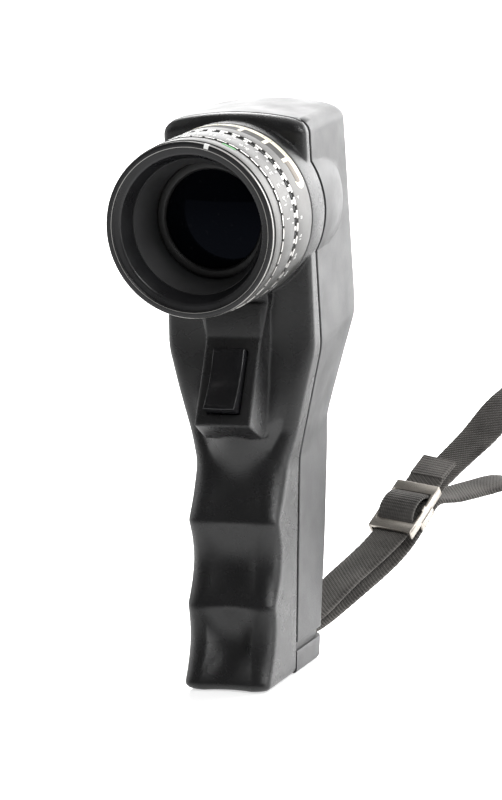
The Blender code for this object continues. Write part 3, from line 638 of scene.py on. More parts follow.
def seam_rounded(rows, behind):
    """Draw the first and last points of each row in a little, which rounds the shell's lip."""
    lip = 0.22
    out = []
    for row in rows:
        row = list(row)
        if row[0][2] < REAR_BOTTOM + 0.4 and behind:
            out.append([row[0]] + row + [row[-1]])
            continue
        for edge in (0, -1):
            x, y, z = row[edge]
            inner = (x - math.copysign(lip, x), y, z)
            lifted = (x, y + (lip if behind else -lip), z)
            row[edge] = lifted
            row = [inner] + row if edge == 0 else row + [inner]
        out.append(row)
    return out


FACE_TILT = math.atan2(FACE_BOTTOM[0] - FACE_TOP[0], FACE_TOP[1] - FACE_BOTTOM[1])
FACE_MIDDLE = ((FACE_TOP[0] + FACE_BOTTOM[0]) / 2, (FACE_TOP[1] + FACE_BOTTOM[1]) / 2)
FACE_MATRIX = Matrix.Translation((0.0, *FACE_MIDDLE)) @ Matrix.Rotation(FACE_TILT, 4, "X")


def on_face(bm):
    """Stand a bmesh on the trigger face: local -Y looks out of it and local +Z runs up it."""
    bmesh.ops.transform(bm, matrix=FACE_MATRIX, verts=bm.verts)
    return bm


def prism(side_points, bevel):
    """A closed prism across X from (y, z, half width) points round its side view, with soft edges."""
    bm = bmesh.new()
    left = [bm.verts.new((-half, y, z)) for y, z, half in side_points]
    right = [bm.verts.new((half, y, z)) for y, z, half in side_points]
    bm.faces.new(left)
    bm.faces.new(list(reversed(right)))
    for i in range(len(left)):
        j = (i + 1) % len(left)
        bm.faces.new((left[j], left[i], right[i], right[j]))
    bmesh.ops.recalc_face_normals(bm, faces=bm.faces)
    bmesh.ops.bevel(bm, geom=list(bm.edges), offset=bevel, segments=4, affect="EDGES", profile=0.5,
                    clamp_overlap=True)
    bmesh.ops.triangulate(bm, faces=bm.faces)
    return bm


# Front wall of the front shell's hollow, as (z, y) from the top down, and the hollow's inset at the sides
HOLLOW_FRONT = ((138.0, 3.4), (84.0, 3.4), (66.0, 1.8), (48.0, 0.0), (33.0, -7.0), (13.0, -12.2),
                (1.9, -16.0))
HOLLOW_SIDE = 2.6


def build_front_shell():
    """The front shell with its collar, trigger bump and slot."""
    offset = -SEAM_SHOWN / 2
    rows = [section(z, s, False, offset) for z, s in levels(0.0, BASE_RADIUS)]
    rows = seam_rounded(rows, False)
    closed = [to_seam(rows[0], offset)] + rows + [to_seam(rows[-1], offset)]
    bm = skin(closed, True)
    shell = solid("front_shell_skin", bm)
    under = CRESTS[0][0] - 1.0
    top = AXIS_Z - RING_RADIUS
    bump = prism(
        [(FACE_TOP[0], top - 0.4, BUMP_HALF_WIDTH), (*FACE_TOP, BUMP_HALF_WIDTH),
         (*FACE_BOTTOM, BUMP_HALF_WIDTH), (-7.4, under, 7.6), (2.0, under, 9.8), (2.6, top + 3.0, 9.8),
         (COLLAR_FRONT_Y + 0.2, top + 3.0, 9.0), (COLLAR_FRONT_Y + 0.2, top - 0.4, 9.0)],
        0.55,
    )
    add(shell, bump)
    slot = block(
        (-TRIGGER_HALF_WIDTH - CLEAR, -6.0, -TRIGGER_LENGTH / 2 - CLEAR),
        (TRIGGER_HALF_WIDTH + CLEAR, 14.0, TRIGGER_LENGTH / 2 + CLEAR), 0.5,
    )
    cut(shell, on_face(slot))
    hollow_rows = []
    for z, y in HOLLOW_FRONT:
        half = half_width(z) - (HOLLOW_SIDE if z > HEAD_BOTTOM else WALL)
        hollow_rows.append([(half, seam(z) + 1.0, z), (half, y, z), (-half, y, z), (-half, seam(z) + 1.0, z)])
    hollow = skin(hollow_rows, True)
    bmesh.ops.holes_fill(hollow, edges=[e for e in hollow.edges if e.is_boundary])
    bmesh.ops.triangulate(hollow, faces=hollow.faces)
    cut(shell, hollow)
    rear_y = SEAM_HEAD_Y + offset - 0.05
    inner = BARREL_RADIUS - 1.0
    collar = [(RING_RADIUS, rear_y), (RING_RADIUS, COLLAR_FRONT_Y), (inner, COLLAR_FRONT_Y), (inner, rear_y)]
    add(shell, lathe(rounded(collar, 0.25, 2)))
    cut(shell, rod(BARREL_RADIUS + CLEAR, -6.0, 8.0))
    finish_solid(shell, "front_shell_skin", FRONT_PLASTIC, "body", ["front_shell"])


REAR_BOTTOM = 7.8
BULGE_END_Y = 26.8
BULGE_END_RADIUS = 18.4
BULGE_INNER = 16.0
EYEPIECE_RADIUS = 9.0
CAP_RADIUS = 7.9
BATTERY_CENTRE = (0.0, BATTERY_Y, 0.0)
SCREWS = ((-13.5, 131.0), (13.5, 131.0), (-13.5, 96.0), (13.5, 96.0))


def build_rear_shell():
    """The rear shell with the bulge behind the collar and its holes."""
    offset = SEAM_SHOWN / 2
    rows = [section(z, s, True, offset) for z, s in levels(REAR_BOTTOM, 0.0)]
    rows = seam_rounded(rows, True)
    bm = skin([to_seam(rows[0], offset)] + rows + [to_seam(rows[-1], offset)], False)
    shell = solid("rear_shell_skin", bm)
    thick = shell.modifiers.new("wall", "SOLIDIFY")
    thick.thickness = WALL * MM
    thick.offset = -1.0
    thick.use_even_offset = False
    start = SEAM_HEAD_Y + offset + 0.05
    rise = []
    for k in range(17):
        height = (RING_RADIUS - BULGE_END_RADIUS) * math.cos(math.pi / 2 * k / 16) ** 0.45
        rise.append((BULGE_END_RADIUS + height, start + (BULGE_END_Y - start) * k / 16))
    add(shell, lathe(rise + [(BULGE_INNER, BULGE_END_Y), (BULGE_INNER, start)]))
    eyepiece_hole = rod(EYEPIECE_RADIUS + CLEAR, 30.0, 38.0, steps=72)
    battery_hole = rod(CAP_RADIUS, 5.0, 12.0, BATTERY_CENTRE, "Z", 64)
    cut(shell, eyepiece_hole, battery_hole, block((-3.9, 15.6, 7.0), (9.4, 24.0, 8.8), 0.4))
    for x, z in SCREWS:
        recess = [(0.0, 28.0), (1.4, 28.0), (1.4, 32.7), (2.5, 32.7), (2.5, 38.0), (0.0, 38.0)]
        cut(shell, lathe(recess, (x, 0.0, z), steps=40, closed=False))
    finish_solid(shell, "rear_shell_skin", REAR_PLASTIC, "body", ["rear_shell"])


SEAM_SHADOW_TOP = 134.0


def build_seam_shadow():
    """A dark strip in the joint between the two shells, on each side: painted shadow inside the gap."""
    for side, label in ((1, "right"), (-1, "left")):
        rows = []
        for z, _ in levels(FOOT_HEIGHT, 0.0):
            outer, middle = side * (half_width(z) - 0.55), seam(z)
            inner = outer - side * 1.0
            low, high = middle - 0.8, middle + 0.8
            rows.append([(outer, low, z), (outer, high, z), (inner, high, z), (inner, low, z)])
        strip = skin([row for row in rows if row[0][2] < SEAM_SHADOW_TOP], True)
        bmesh.ops.holes_fill(strip, edges=[e for e in strip.edges if e.is_boundary])
        piece(f"seam_shadow_strip_{label}", strip, SHADE_AND_BLACK_PAINT, "body")


def build_foot():
    """The foot behind the seam, with the cap's bore and the strap pocket."""
    soft = 0.9
    turns = [k * math.pi / 12 for k in range(6)]
    stops = [(soft * (1 - math.cos(turn)), soft * (1 - math.sin(turn))) for turn in turns]
    stops += [(soft, 0.0), (2.0, 0.0), (4.0, 0.0), (FOOT_HEIGHT - 0.3, 0.0), (FOOT_HEIGHT - 0.1, 0.06),
              (FOOT_HEIGHT, 0.3), (FOOT_HEIGHT, 0.9), (7.4, 0.9)]
    rows = [section(z, shrink, True, SEAM_GAP / 2) for z, shrink in stops]
    bm = skin([to_seam(rows[0], SEAM_GAP / 2)] + rows + [to_seam(rows[-1], SEAM_GAP / 2)], False)
    bmesh.ops.holes_fill(bm, edges=[e for e in bm.edges if e.is_boundary])
    foot = solid("foot_skin", bm)
    bore = [(0.0, -1.0), (8.35, -1.0), (8.2, 0.35), (8.2, 3.1), (6.9, 3.1), (6.9, 8.4), (0.0, 8.4)]
    strap_pocket = block((-3.6, 15.6, 3.9), (9.1, 22.0, 8.4))
    cut(foot, lathe(bore, BATTERY_CENTRE, "Z", 96, False), strap_pocket)
    finish_solid(foot, "foot_skin", REAR_PLASTIC, "body", ["base_foot"])


def build_trigger():
    """The glossy trigger, hollowed along its length, with soft edges."""
    half = TRIGGER_LENGTH / 2
    steps = 14
    hollowed = [(-2.3 - 1.7 * t + 0.9 * math.sin(math.pi * t), half - TRIGGER_LENGTH * t)
                for t in [k / steps for k in range(steps + 1)]]
    side = hollowed + [(2.6, -half), (2.6, half)]
    bm = bmesh.new()
    rows = []
    across = 12
    front_count = len(hollowed)
    for k in range(across + 1):
        share = 2 * k / across - 1
        x = TRIGGER_HALF_WIDTH * share
        dish = 0.28 * (1 - share * share)
        rows.append([bm.verts.new((x, y + (dish if i < front_count else 0.0), z))
                     for i, (y, z) in enumerate(side)])
    for a, b in zip(rows, rows[1:]):
        for i in range(len(side)):
            j = (i + 1) % len(side)
            bm.faces.new((a[i], a[j], b[j], b[i]))
    bm.faces.new(rows[0])
    bm.faces.new(list(reversed(rows[-1])))
    bmesh.ops.recalc_face_normals(bm, faces=bm.faces)
    rim = [e for e in bm.edges if len(e.link_faces) == 2 and e.calc_face_angle(0.0) > math.radians(50)]
    bmesh.ops.bevel(bm, geom=rim, offset=0.32, segments=3, affect="EDGES", profile=0.6)
    on_face(bm)
    piece("trigger_cap", bm, TRIGGER_PLASTIC, "trigger", ["trigger_button"], 30.0)


# ---------------------------------------------------------------- rings on the lens

DASHES = 43
DASH_PITCH = 360.0 / DASHES


def arc_block(inner, outer, start, end, first, sweep, steps=4, bevel=0.0):
    """A strip of tube round part of the lens axis, whose angles are in degrees."""
    profile = [(outer, start), (outer, end), (inner, end), (inner, start)]
    if bevel:
        profile = rounded(profile, bevel, 2)
    return lathe(profile, steps=steps, first=math.radians(first), sweep=math.radians(sweep))


def add_dashes(bm, outer, start, end, share, shift, bevel=0.08):
    """A row of short raised dashes round a ring, joined into its bmesh on the third material, whose bright
    metal is partly worn tops and partly painted highlight.
    """
    inner = RING_RADIUS - 0.6
    for k in range(DASHES):
        dash = arc_block(inner, outer, start, end, DASH_PITCH * (k + shift), DASH_PITCH * share, 4, bevel)
        join(bm, dash, 2)


def numerals(name, words, y, height, first, step, body, radius=RING_RADIUS):
    """Small raised numerals round a ring, read from behind the meter."""
    raised = radius + 0.03
    bm = bmesh.new()
    for k, word in enumerate(words):
        text = bpy.data.curves.new("numeral", "FONT")
        text.body = word
        text.size = height * 1.35
        text.align_x = "CENTER"
        text.resolution_u = 3
        holder = bpy.data.objects.new("numeral", text)
        bpy.context.scene.collection.objects.link(holder)
        graph = bpy.context.evaluated_depsgraph_get()
        graph.update()
        flat = holder.evaluated_get(graph).to_mesh()
        part = bmesh.new()
        part.from_mesh(flat)
        bpy.data.objects.remove(holder)
        bpy.data.curves.remove(text)
        middle = math.radians(first + step * k)
        for v in part.verts:
            turn = middle + v.co.x / radius
            along = y + height / 2 - v.co.y
            v.co = Vector((raised * math.cos(turn), along, AXIS_Z + raised * math.sin(turn)))
        join(bm, part)
    piece(name, bm, MARK_PAINT, body, smooth=0)


RIM_MARK = (73.4, 3.2)


def build_rim():
    """The black filter ring: its bevelled rim, thread, step and inner cone."""
    y = RIM_FRONT_Y
    rim = [(RIM_RADIUS, y + 0.35), (RIM_RADIUS, y + 1.25), (20.9, y + 1.25), (20.9, -24.9), (16.9, -24.9),
           (17.05, -25.6), (18.4, y + 1.15), (18.9, y + 0.85), (THREAD_RADIUS - 0.15, y + 0.85)]
    for k in range(3):
        rim += [(THREAD_RADIUS, y + 0.75 - 0.2 * k), (THREAD_RADIUS - 0.12, y + 0.65 - 0.2 * k)]
    rim += [(THREAD_RADIUS + 0.05, y + 0.05), (THREAD_RADIUS + 0.2, y), (RIM_RADIUS - 0.35, y)]
    piece("rim", lathe(rounded(rim, 0.06, 1), steps=192), RIM_METAL, "body", ["filter_ring"],
          50.0)
    # A bright metal ring round the rim's front edge and one round the thread's lip: partly worn edges, partly
    # a painted highlight.
    worn = [(-0.12, 0.10), (0.015, 0.30), (0.02, 0.42), (-0.2, 0.3)]
    worn = lathe([(RIM_RADIUS + out, y + back) for out, back in worn], steps=192)
    piece("rim_worn_and_highlit_edge", worn, EDGE_METAL, "body")
    lip = [(0.14, -0.01), (0.24, -0.02), (0.24, 0.1), (0.1, 0.1)]
    lip = lathe([(THREAD_RADIUS + out, y + back) for out, back in lip], steps=192)
    piece("rim_inner_edge", lip, EDGE_METAL, "body")
    mark = arc_block(RIM_RADIUS - 1.1, RIM_RADIUS + 0.03, y - 0.03, y + 1.0, *RIM_MARK, 3)
    piece("rim_index_mark", mark, MARK_PAINT, "body", smooth=0)


def blacken(bm, below):
    """Put the faces nearer the axis than a radius on the second material, the near-black painted shade of the
    grooves.
    """
    for f in bm.faces:
        spot = f.calc_center_median()
        if math.hypot(spot.x, spot.z - AXIS_Z) < below:
            f.material_index = 1


APERTURES = ("1", "1.4", "2", "2.8", "4", "5.6", "8", "11", "16", "22", "32", "45", "64", "90", "128")
TIMES = ("4", "8", "15", "30", "60", "125", "250", "500")


def build_rings():
    """The three setting rings with their notched edges and numerals."""
    outer = RING_RADIUS
    groove = outer - 0.42
    inner = BARREL_RADIUS + CLEAR
    bm = lathe(rounded([(22.0, -28.8), (22.0, -24.7), (21.2, -24.7), (21.2, -28.8)], 0.12, 2), steps=192)
    piece("film_speed_ring_turned", bm, RING_METAL, "film_speed_ring", ["film_speed_ring"])
    mark = arc_block(21.7, 22.05, -25.55, -24.8, 60.0, 9.5, 6)
    piece("film_speed_mark", mark, GREEN_PAINT, "film_speed_ring", smooth=0)

    profile = [(groove, -24.3), (groove, -23.6), (outer, -23.45), (outer, -16.3), (groove, -16.2),
               (groove, -15.1), (inner, -15.1), (inner, -24.3)]
    bm = lathe(rounded(profile, 0.08, 2), steps=192)
    blacken(bm, outer - 0.3)
    add_dashes(bm, outer - 0.02, -24.15, -23.55, 0.80, 0.1)
    add_dashes(bm, outer - 0.02, -16.25, -15.12, 0.32, 0.34, 0.05)
    piece("aperture_ring_turned", bm, [RING_METAL, SHADE_AND_BLACK_PAINT, LUG_METAL], "aperture_ring",
          ["aperture_ring"])

    profile = [(groove, -14.7), (groove, -13.7), (outer, -13.55), (outer, -4.1), (inner, -4.1),
               (inner, -14.7)]
    bm = lathe(rounded(profile, 0.10, 2), steps=192)
    blacken(bm, outer - 0.3)
    add_dashes(bm, outer - 0.01, -14.55, -13.62, 0.62, 0.19)
    piece("shutter_ring_turned", bm, [RING_METAL, SHADE_AND_BLACK_PAINT, LUG_METAL], "shutter_ring", ["shutter_ring"])
    numerals("aperture_numerals", APERTURES, -20.6, 1.75, 4.0, 11.0, "aperture_ring")
    numerals("aperture_small_numerals", [str(n) for n in range(1, 21)], -17.6, 1.25, 0.0, 8.6,
             "aperture_ring")
    numerals("shutter_numerals", TIMES, -11.6, 1.3, 14.0, -13.0, "shutter_ring")


WINDOW_BARS = (74.0, 56.0, 39.0)
WINDOWS = ((119.0, 75.4), (72.6, 57.4), (54.6, 40.4))
TIP_MIDDLE_Y = -7.2
TIP_REACH = 2.55
TIP_FROM = 23.6
TIP_SWEEP = 5.6


def build_scale():
    """The cream scale strip with its dark windows between cream bars."""
    outer = RING_RADIUS
    rim, bars = outer + 0.06, outer + 0.05
    profile = rounded([(rim, -6.7), (rim, -4.55), (outer - 0.55, -4.75), (outer - 0.55, -6.6)], 0.08, 2)
    bm = lathe(profile, steps=90, first=math.radians(23.5), sweep=math.radians(96.0))
    for angle in WINDOW_BARS:
        join(bm, arc_block(outer - 0.2, bars, -9.8, -6.5, angle - 1.4, 2.8))
    tip = bmesh.new()
    top = []
    low = []
    for k in range(13):
        turn = math.pi * k / 12
        y = TIP_MIDDLE_Y + TIP_REACH * math.cos(turn)
        angle = math.radians(TIP_FROM - TIP_SWEEP * math.sin(turn))
        for row, radius in ((top, bars), (low, outer - 0.3)):
            row.append(tip.verts.new((radius * math.cos(angle), y, AXIS_Z + radius * math.sin(angle))))
    tip.faces.new(top)
    tip.faces.new(list(reversed(low)))
    for i in range(len(top)):
        j = (i + 1) % len(top)
        tip.faces.new((top[j], top[i], low[i], low[j]))
    join(bm, tip)
    piece("scale_strip", bm, CREAM_PAINT, "shutter_ring", ["scale_band"], 30.0)
    dark = bmesh.new()
    for first, last in WINDOWS:
        join(dark, arc_block(outer - 0.2, outer + 0.03, -9.7, -6.65, last, first - last, 10))
    piece("scale_windows", dark, WINDOW_PAINT, "shutter_ring")
    tan = arc_block(outer - 0.2, outer + 0.07, -9.2, -6.75, 22.5, 15.1, 10, 0.1)
    piece("scale_end_window", tan, WINDOW_TAN, "shutter_ring")
    ticks = bmesh.new()
    for angle in range(26, 118, 2):
        if angle % 18 < 10:
            end = -5.3 if angle % 6 else -4.9
            join(ticks, arc_block(outer, outer + 0.075, -6.0, end, angle, 0.35, 1))
    piece("scale_ticks", ticks, WINDOW_PAINT, "shutter_ring", smooth=0)


def lens_face(radius, start, end, front_sag, rear_sag, steps=16):
    """A lens's profile, with both faces bulging outwards by their sags."""
    face = [(radius * k / steps, start + front_sag * (k / steps) ** 2) for k in range(steps + 1)]
    back = [(radius * k / steps, end - rear_sag * (k / steps) ** 2) for k in reversed(range(steps + 1))]
    return face + back


NOTCH_RADIUS = 13.7


def build_lens():
    """The stepped barrel, the retainer with its two spanner notches and the front glass."""
    tube = [(BARREL_RADIUS, -24.6), (BARREL_RADIUS, 4.5), (13.5, 4.5), (13.5, 16.0), (12.2, 16.0),
            (12.2, -7.5), (13.3, -7.5), (13.3, -13.0), (14.8, -13.0), (14.9, -20.0), (16.8, -24.6)]
    piece("barrel", lathe(tube, steps=160), INNER_METAL, "body", ["lens_barrel"],
          30.0)
    hoop = rounded([(14.5, -14.5), (14.5, -13.3), (12.4, -13.3), (12.4, -13.9), (12.9, -14.5)], 0.12, 2)
    bm = lathe(hoop, steps=160)
    piece("retainer_ring", bm, SHADE_AND_BLACK_PAINT, "body", ["lens_retainer"], 30.0)
    spanner = bmesh.new()
    for turn in (math.radians(205.0), math.radians(25.0)):
        spot = (NOTCH_RADIUS * math.cos(turn), 0.0, AXIS_Z + NOTCH_RADIUS * math.sin(turn))
        join(spanner, rod(0.4, -14.53, -14.2, spot, steps=20))
    piece("retainer_notches", spanner, SHADE_AND_BLACK_PAINT, "body")
    piece("front_glass", lathe(lens_face(13.0, -14.3, -8.0, 1.4, 0.9), steps=120, closed=False), COATED_GLASS,
          "body", ["front_lens"], 60.0)


def build_finder():
    """The dioptre ring, the eyecup and the screws at the back, and the battery cap."""
    ring = lathe(rounded([(10.75, 36.4), (10.75, 46.4), (7.0, 46.4), (7.0, 44.4), (9.3, 44.4), (9.3, 36.4)],
                         0.2, 2), steps=144)
    for k in range(48):
        first = 2 * math.pi * k / 48
        join(ring, lathe(rounded([(10.9, 38.0), (10.9, 45.0), (10.5, 45.0), (10.5, 38.0)], 0.1, 1), steps=2,
                         first=first, sweep=math.pi / 48))
    piece("diopter_ring_turned", ring, RIM_METAL, "diopter", ["diopter_ring"])
    numerals("diopter_numerals", ["-2", "-1", "0", "+1", "+2"], 37.2, 1.2, 66.0, 12.0, "diopter",
             10.76)
    cup = rounded([(10.3, 46.8), (10.6, 50.4), (10.0, 51.5), (8.6, 51.2), (7.6, 49.0), (7.4, 46.8)], 0.5, 4)
    piece("eyecup_rubber", lathe(cup, steps=128), RUBBER, "diopter", ["eyecup"])
    for number, (x, z) in enumerate(SCREWS, start=1):
        profile = [(0.0, 27.2), (1.1, 27.2), (1.1, 33.0), (1.9, 33.0), (2.2, 33.4), (2.2, 33.8),
                   (1.6, 34.15), (0.0, 34.2)]
        screw = solid("screw", lathe(profile, (x, 0.0, z), steps=48, closed=False))
        turn = Matrix.Translation((x, 0.0, z)) @ Matrix.Rotation(math.radians(20 + 37 * number), 4, "Y")
        for across, up in ((1.3, 0.19), (0.19, 1.3)):
            cross = block((-across, 33.6, -up), (across, 34.6, up))
            bmesh.ops.transform(cross, matrix=turn, verts=cross.verts)
            cut(screw, cross)
        finish_solid(screw, f"screw_head_{number}", DARK_STEEL, "body", [f"shell_screw_{number}"],
                     30.0)
    profile = [(0.0, 0.4), (7.1, 0.4), (7.4, 0.7), (CAP_RADIUS, 0.8), (CAP_RADIUS, 2.8), (0.0, 2.8)]
    cap = solid("cap", lathe(profile, BATTERY_CENTRE, "Z", 128, False))
    coin_slot = block((-6.5, BATTERY_Y - 0.8, -0.6), (6.5, BATTERY_Y + 0.8, 1.4), 0.3)
    cut(cap, coin_slot)
    finish_solid(cap, "battery_cap_turned", DARK_STEEL, "battery_cap", ["battery_cap"],
                 30.0)


# ---------------------------------------------------------------- strap

LUG_X = 2.8
TAIL_ROUTE = (
    (LUG_X, 16.2, 8.0, 0.0), (LUG_X, 18.6, 7.7, 0.0), (LUG_X + 0.6, 21.2, 7.6, 0.0),
    (9.5, 40.0, 14.4, 4.0), (17.0, 60.0, 23.4, 6.0), (20.3, 72.0, 31.3, 6.0), (21.5, 76.6, 34.3, 6.0),
    (23.1, 82.2, 37.4, 8.0),
)
LOOP_ROUTE = (
    (LUG_X, 16.2, 4.9, 0.0), (LUG_X, 18.6, 5.2, 0.0), (LUG_X + 0.6, 21.2, 5.2, 0.0),
    (9.6, 41.0, 10.4, 4.0), (17.0, 61.9, 19.3, 6.0), (18.8, 68.4, 23.6, 6.0), (20.6, 74.9, 27.9, 6.0),
    (25.0, 84.0, 27.6, 8.0), (29.0, 93.5, 27.5, 10.0), (34.3, 101.0, 27.8, 10.0),
    (42.0, 115.0, 21.0, 6.0), (50.0, 130.0, 10.0, 0.0), (58.0, 142.0, 2.4, 0.0),
    (64.0, 150.0, 0.9, 0.0), (69.0, 156.0, 7.0, 0.0), (68.0, 154.0, 19.0, 0.0),
    (62.0, 146.0, 34.0, 0.0), (54.0, 134.0, 47.0, -6.0), (44.5, 119.0, 53.6, -14.0),
    (35.4, 103.0, 48.6, -22.0), (30.2, 93.0, 41.6, -18.0), (26.2, 86.4, 37.2, -12.0),
    (23.4, 81.2, 34.0, -8.0), (21.6, 76.9, 31.8, -6.0), (20.5, 73.1, 29.4, -6.0),
    (19.3, 68.6, 26.5, -6.0),
)


def smooth_route(route, pitch):
    """Points about a pitch apart on the smooth curve through a route of (x, y, z, roll in degrees)."""
    knots = [Vector(p) for p in route]
    lengths = [(b - a).xyz.length for a, b in zip(knots, knots[1:])]
    slopes = [(b - a) / length for a, b, length in zip(knots, knots[1:], lengths)]
    heading = [slopes[0]]
    for before, after, short, long in zip(slopes, slopes[1:], lengths, lengths[1:]):
        heading.append((before * long + after * short) / (short + long))
    heading.append(slopes[-1])
    points = [knots[0]]
    for i, length in enumerate(lengths):
        count = max(1, round(length / pitch))
        for k in range(1, count + 1):
            t = k / count
            points.append(
                knots[i] * (2 * t ** 3 - 3 * t ** 2 + 1) + knots[i + 1] * (3 * t ** 2 - 2 * t ** 3)
                + heading[i] * length * (t ** 3 - 2 * t ** 2 + t)
                + heading[i + 1] * length * (t ** 3 - t ** 2)
            )
    return points


def heading_at(points, i):
    """The unit vector along a run of points, from the neighbours of one of them."""
    return (points[min(i + 1, len(points) - 1)].xyz - points[max(i - 1, 0)].xyz).normalized()


def ribbon_frames(points):
    """For each point: its place, the unit vector across the webbing and the one out of its face."""
    frames = []
    across = Vector((1.0, 0.0, 0.0))
    for i, point in enumerate(points):
        along_it = heading_at(points, i)
        level = Vector((along_it.y, -along_it.x, 0.0))
        before = across
        across = level.normalized() if level.length > 0.2 else across
        if frames and across.dot(before) < 0:
            across = -across
        roll = math.radians(point.w)
        rolled = across * math.cos(roll) - across.cross(along_it) * math.sin(roll)
        frames.append((point.xyz, rolled, rolled.cross(along_it)))
    return frames


def ribbon(name, frames, look, width=STRAP_WIDTH, thick=STRAP_THICKNESS, replaced=(), scallop=0.10):
    """Flat webbing along frames, with rounded, slightly uneven selvedges and a UV map in millimetres."""
    half, rise = width / 2, thick / 2
    top = [(a, rise) for a in (half - 0.5, 0.6 * half, 0.2 * half, -0.2 * half, -0.6 * half, 0.5 - half)]
    selvedge = [(0.1 - half, rise * 0.6), (-half, 0.0), (0.1 - half, -rise * 0.6)]
    shape = top + selvedge
    shape += [(-a, -b) for a, b in shape]
    bm = bmesh.new()
    uv = bm.loops.layers.uv.new("strap")
    rows = []
    travelled = 0.0
    along = []
    for i, (spot, across, out) in enumerate(frames):
        if i:
            travelled += (spot - frames[i - 1][0]).length
        along.append(travelled)
        row = []
        for a, b in shape:
            edge = abs(a) > half - 0.3
            wave = math.sin(travelled * 2 * math.pi / 1.3 + (1.4 if a > 0 else 0.0))
            reach = a + (math.copysign(scallop * wave, a) if edge else 0.0)
            row.append(bm.verts.new(spot + across * reach + out * b))
        rows.append(row)
    count = len(shape)
    for i, (first, second) in enumerate(zip(rows, rows[1:])):
        for k in range(count):
            j = (k + 1) % count
            face = bm.faces.new((first[k], first[j], second[j], second[k]))
            ends = (along[i], along[i], along[i + 1], along[i + 1])
            for loop, u, corner in zip(face.loops, ends, (k, j, j, k)):
                loop[uv].uv = (u, sum(shape[corner]))
    bm.faces.new(rows[0])
    bm.faces.new(list(reversed(rows[-1])))
    return piece(name, bm, look, "body", replaced, 60.0)


tail_frames = ribbon_frames(smooth_route(TAIL_ROUTE, 0.5))
loop_frames = ribbon_frames(smooth_route(LOOP_ROUTE, 0.5))


def buckle_frame():
    """The slide's own axes: across the strap, along it and out of its face."""
    low, high = Vector(TAIL_ROUTE[4]), Vector(TAIL_ROUTE[5])
    along_it = (high.xyz - low.xyz).normalized()
    level = Vector((along_it.y, -along_it.x, 0.0)).normalized()
    roll = math.radians(low.w)
    across = level * math.cos(roll) - level.cross(along_it) * math.sin(roll)
    out = across.cross(along_it)
    turned_frame = Matrix((across, along_it, out)).transposed().to_4x4()
    turned_frame.translation = (low.xyz + high.xyz) / 2
    return turned_frame


def build_buckle():
    """The nickel slide with its flat bars, rails and the nub of its middle bar."""
    bm = block((-6.4, -8.6, 1.0), (6.4, -5.4, 1.9), 0.22)
    join(bm, block((-6.4, 5.4, 1.0), (6.4, 8.6, 1.9), 0.22))
    for side in (-1, 1):
        low, high = sorted((5.45 * side, 6.4 * side))
        join(bm, block((low, -8.6, -0.9), (high, 8.6, 1.88), 0.25))
        join(bm, block((low, -3.4, -2.9), (high, 3.4, 0.2), 0.3))
    join(bm, block((-6.38, -1.4, -2.7), (6.38, 1.0, -1.4), 0.3))
    join(bm, block((5.5, -1.0, 1.5), (6.35, 0.9, 2.35), 0.25))
    bmesh.ops.transform(bm, matrix=buckle_frame(), verts=bm.verts)
    return piece("buckle_slide", bm, NICKEL, "body", ["strap_buckle"], 35.0)


HUMP = ((-5.3, 0.6), (-4.9, 1.7), (-3.4, 3.3), (-0.8, 4.0), (2.0, 3.5), (4.4, 1.9), (5.2, 0.6))


def build_hump():
    """The webbing over the slide's middle bar, from spots along the slide and out of its face."""
    matrix = buckle_frame()
    across = matrix.to_3x3() @ Vector((1.0, 0.0, 0.0))
    points = smooth_route([Vector((*(matrix @ Vector((0.0, a, o))), 0.0)) for a, o in HUMP], 0.35)
    frames = [(p.xyz, across, across.cross(heading_at(points, i))) for i, p in enumerate(points)]
    return ribbon("hump_webbing", frames, HUMP_WEBBING, 10.4, 1.0, scallop=0.05)


def build_strap():
    tail = ribbon("tail_webbing", tail_frames, WEBBING, replaced=["strap_tail"])
    loop = ribbon("loop_webbing", loop_frames, WEBBING, replaced=["strap_loop"])
    slide = build_buckle()
    hump = build_hump()
    raised = [(spot + out * 0.6, across, out) for spot, across, out in tail_frames[-15:]]
    tab = ribbon("tab_webbing", raised, TAB_WEBBING, 9.8, 0.7, scallop=0.05)


build_strap()
build_front_shell()
build_rear_shell()
build_seam_shadow()
build_foot()
build_trigger()
build_rim()
build_rings()
build_scale()
build_lens()
build_finder()

# ---------------------------------------------------------------- materials of the CAD pieces that show

CARRIED = {
    "field_lens": CLEAR_GLASS, "field_stop": INNER_METAL, "beam_splitter": CLEAR_GLASS,
    "reticle_glass": CLEAR_GLASS, "photocell": STEEL, "led_display": RED_DISPLAY, "circuit_board": BOARD,
    "meter_chip": CHIP, "display_chip": CHIP, "eyepiece_tube": INNER_METAL, "eyepiece_lens": COATED_GLASS,
    "switch_body": CHIP, "switch_plunger": BRASS, "trigger_spring": STEEL, "battery": SLEEVE_PRINT,
    "battery_sleeve": REAR_PLASTIC, "battery_contact": BRASS, "battery_spring": STEEL, "battery_plate": BRASS,
    "strap_pin": STEEL,
}
for node, look in CARRIED.items():
    for material_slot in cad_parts[node].material_slots:
        material_slot.material = look

# ---------------------------------------------------------------- floor and light

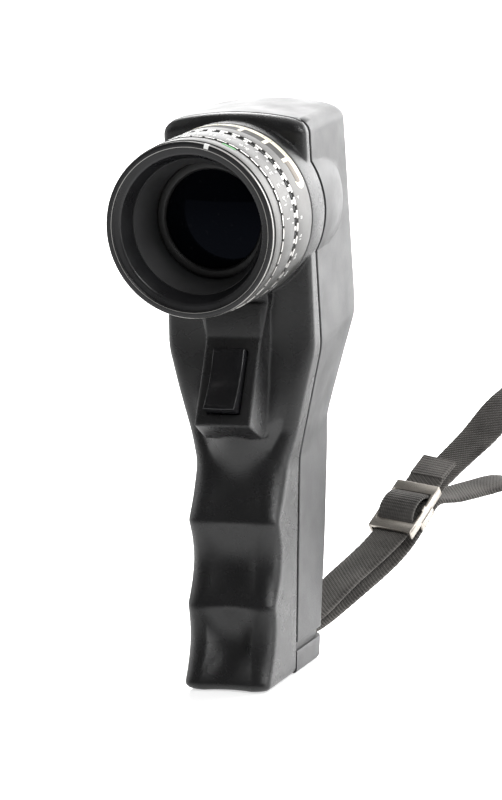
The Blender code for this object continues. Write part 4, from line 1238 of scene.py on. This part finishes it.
floor_mesh = bpy.data.meshes.new("floor")
floor_mesh.from_pydata([(-6, -6, 0), (6, -6, 0), (6, 6, 0), (-6, 6, 0)], [], [(0, 1, 2, 3)])
floor = bpy.data.objects.new("floor", floor_mesh)
floor.location.z = -0.0001
bpy.context.scene.collection.objects.link(floor)
pale = Look("floor")
pale.set(
    Base_Color=pale.mix(pale.noise(3.0), (0.80, 0.80, 0.80), (0.83, 0.83, 0.83)),
    Roughness=0.12,
    Emission_Color=(1.0, 1.0, 1.0),
    Emission_Strength=0.55,
)
floor_mesh.materials.append(pale.material)


def softbox(name, spot, width, height, radiance, aim=(0.0, 0.0, 0.08)):
    """A flat soft light, given by the radiance that it shows in reflections."""
    light = bpy.data.lights.new(name, "AREA")
    light.shape = "RECTANGLE"
    light.size = width
    light.size_y = height
    light.energy = radiance * math.pi * width * height
    thing = bpy.data.objects.new(name, light)
    bpy.context.scene.collection.objects.link(thing)
    thing.location = spot
    thing.rotation_mode = "QUATERNION"
    thing.rotation_quaternion = (Vector(aim) - Vector(spot)).to_track_quat("-Z", "Y")
    thing.visible_camera = False


softbox("backdrop", (0.3, 1.9, 0.75), 3.4, 1.5, 4.4, (0.0, 0.0, 0.10))
softbox("right_back", (1.05, 0.95, 0.50), 1.1, 1.2, 3.4)
softbox("top_back", (0.1, 0.55, 1.25), 1.0, 0.8, 1.0, (0.0, 0.0, 0.05))
softbox("left", (-1.1, 0.1, 0.45), 0.6, 1.0, 1.7)
softbox("right_front", (1.15, -0.38, 0.30), 0.22, 0.8, 7.0)
softbox("high_right", (0.70, -0.45, 0.95), 0.40, 0.40, 14.0)

world = bpy.data.worlds.new("studio")
bpy.context.scene.world = world
world.use_nodes = True
tree = world.node_tree
paths = tree.nodes.new("ShaderNodeLightPath")
blend = tree.nodes.new("ShaderNodeMix")
blend.data_type = "RGBA"
blend.inputs[6].default_value = (0.16, 0.16, 0.16, 1.0)
blend.inputs[7].default_value = (1.0, 1.0, 1.0, 1.0)
tree.links.new(paths.outputs["Is Camera Ray"], blend.inputs[0])
tree.links.new(blend.outputs[2], tree.nodes["Background"].inputs["Color"])
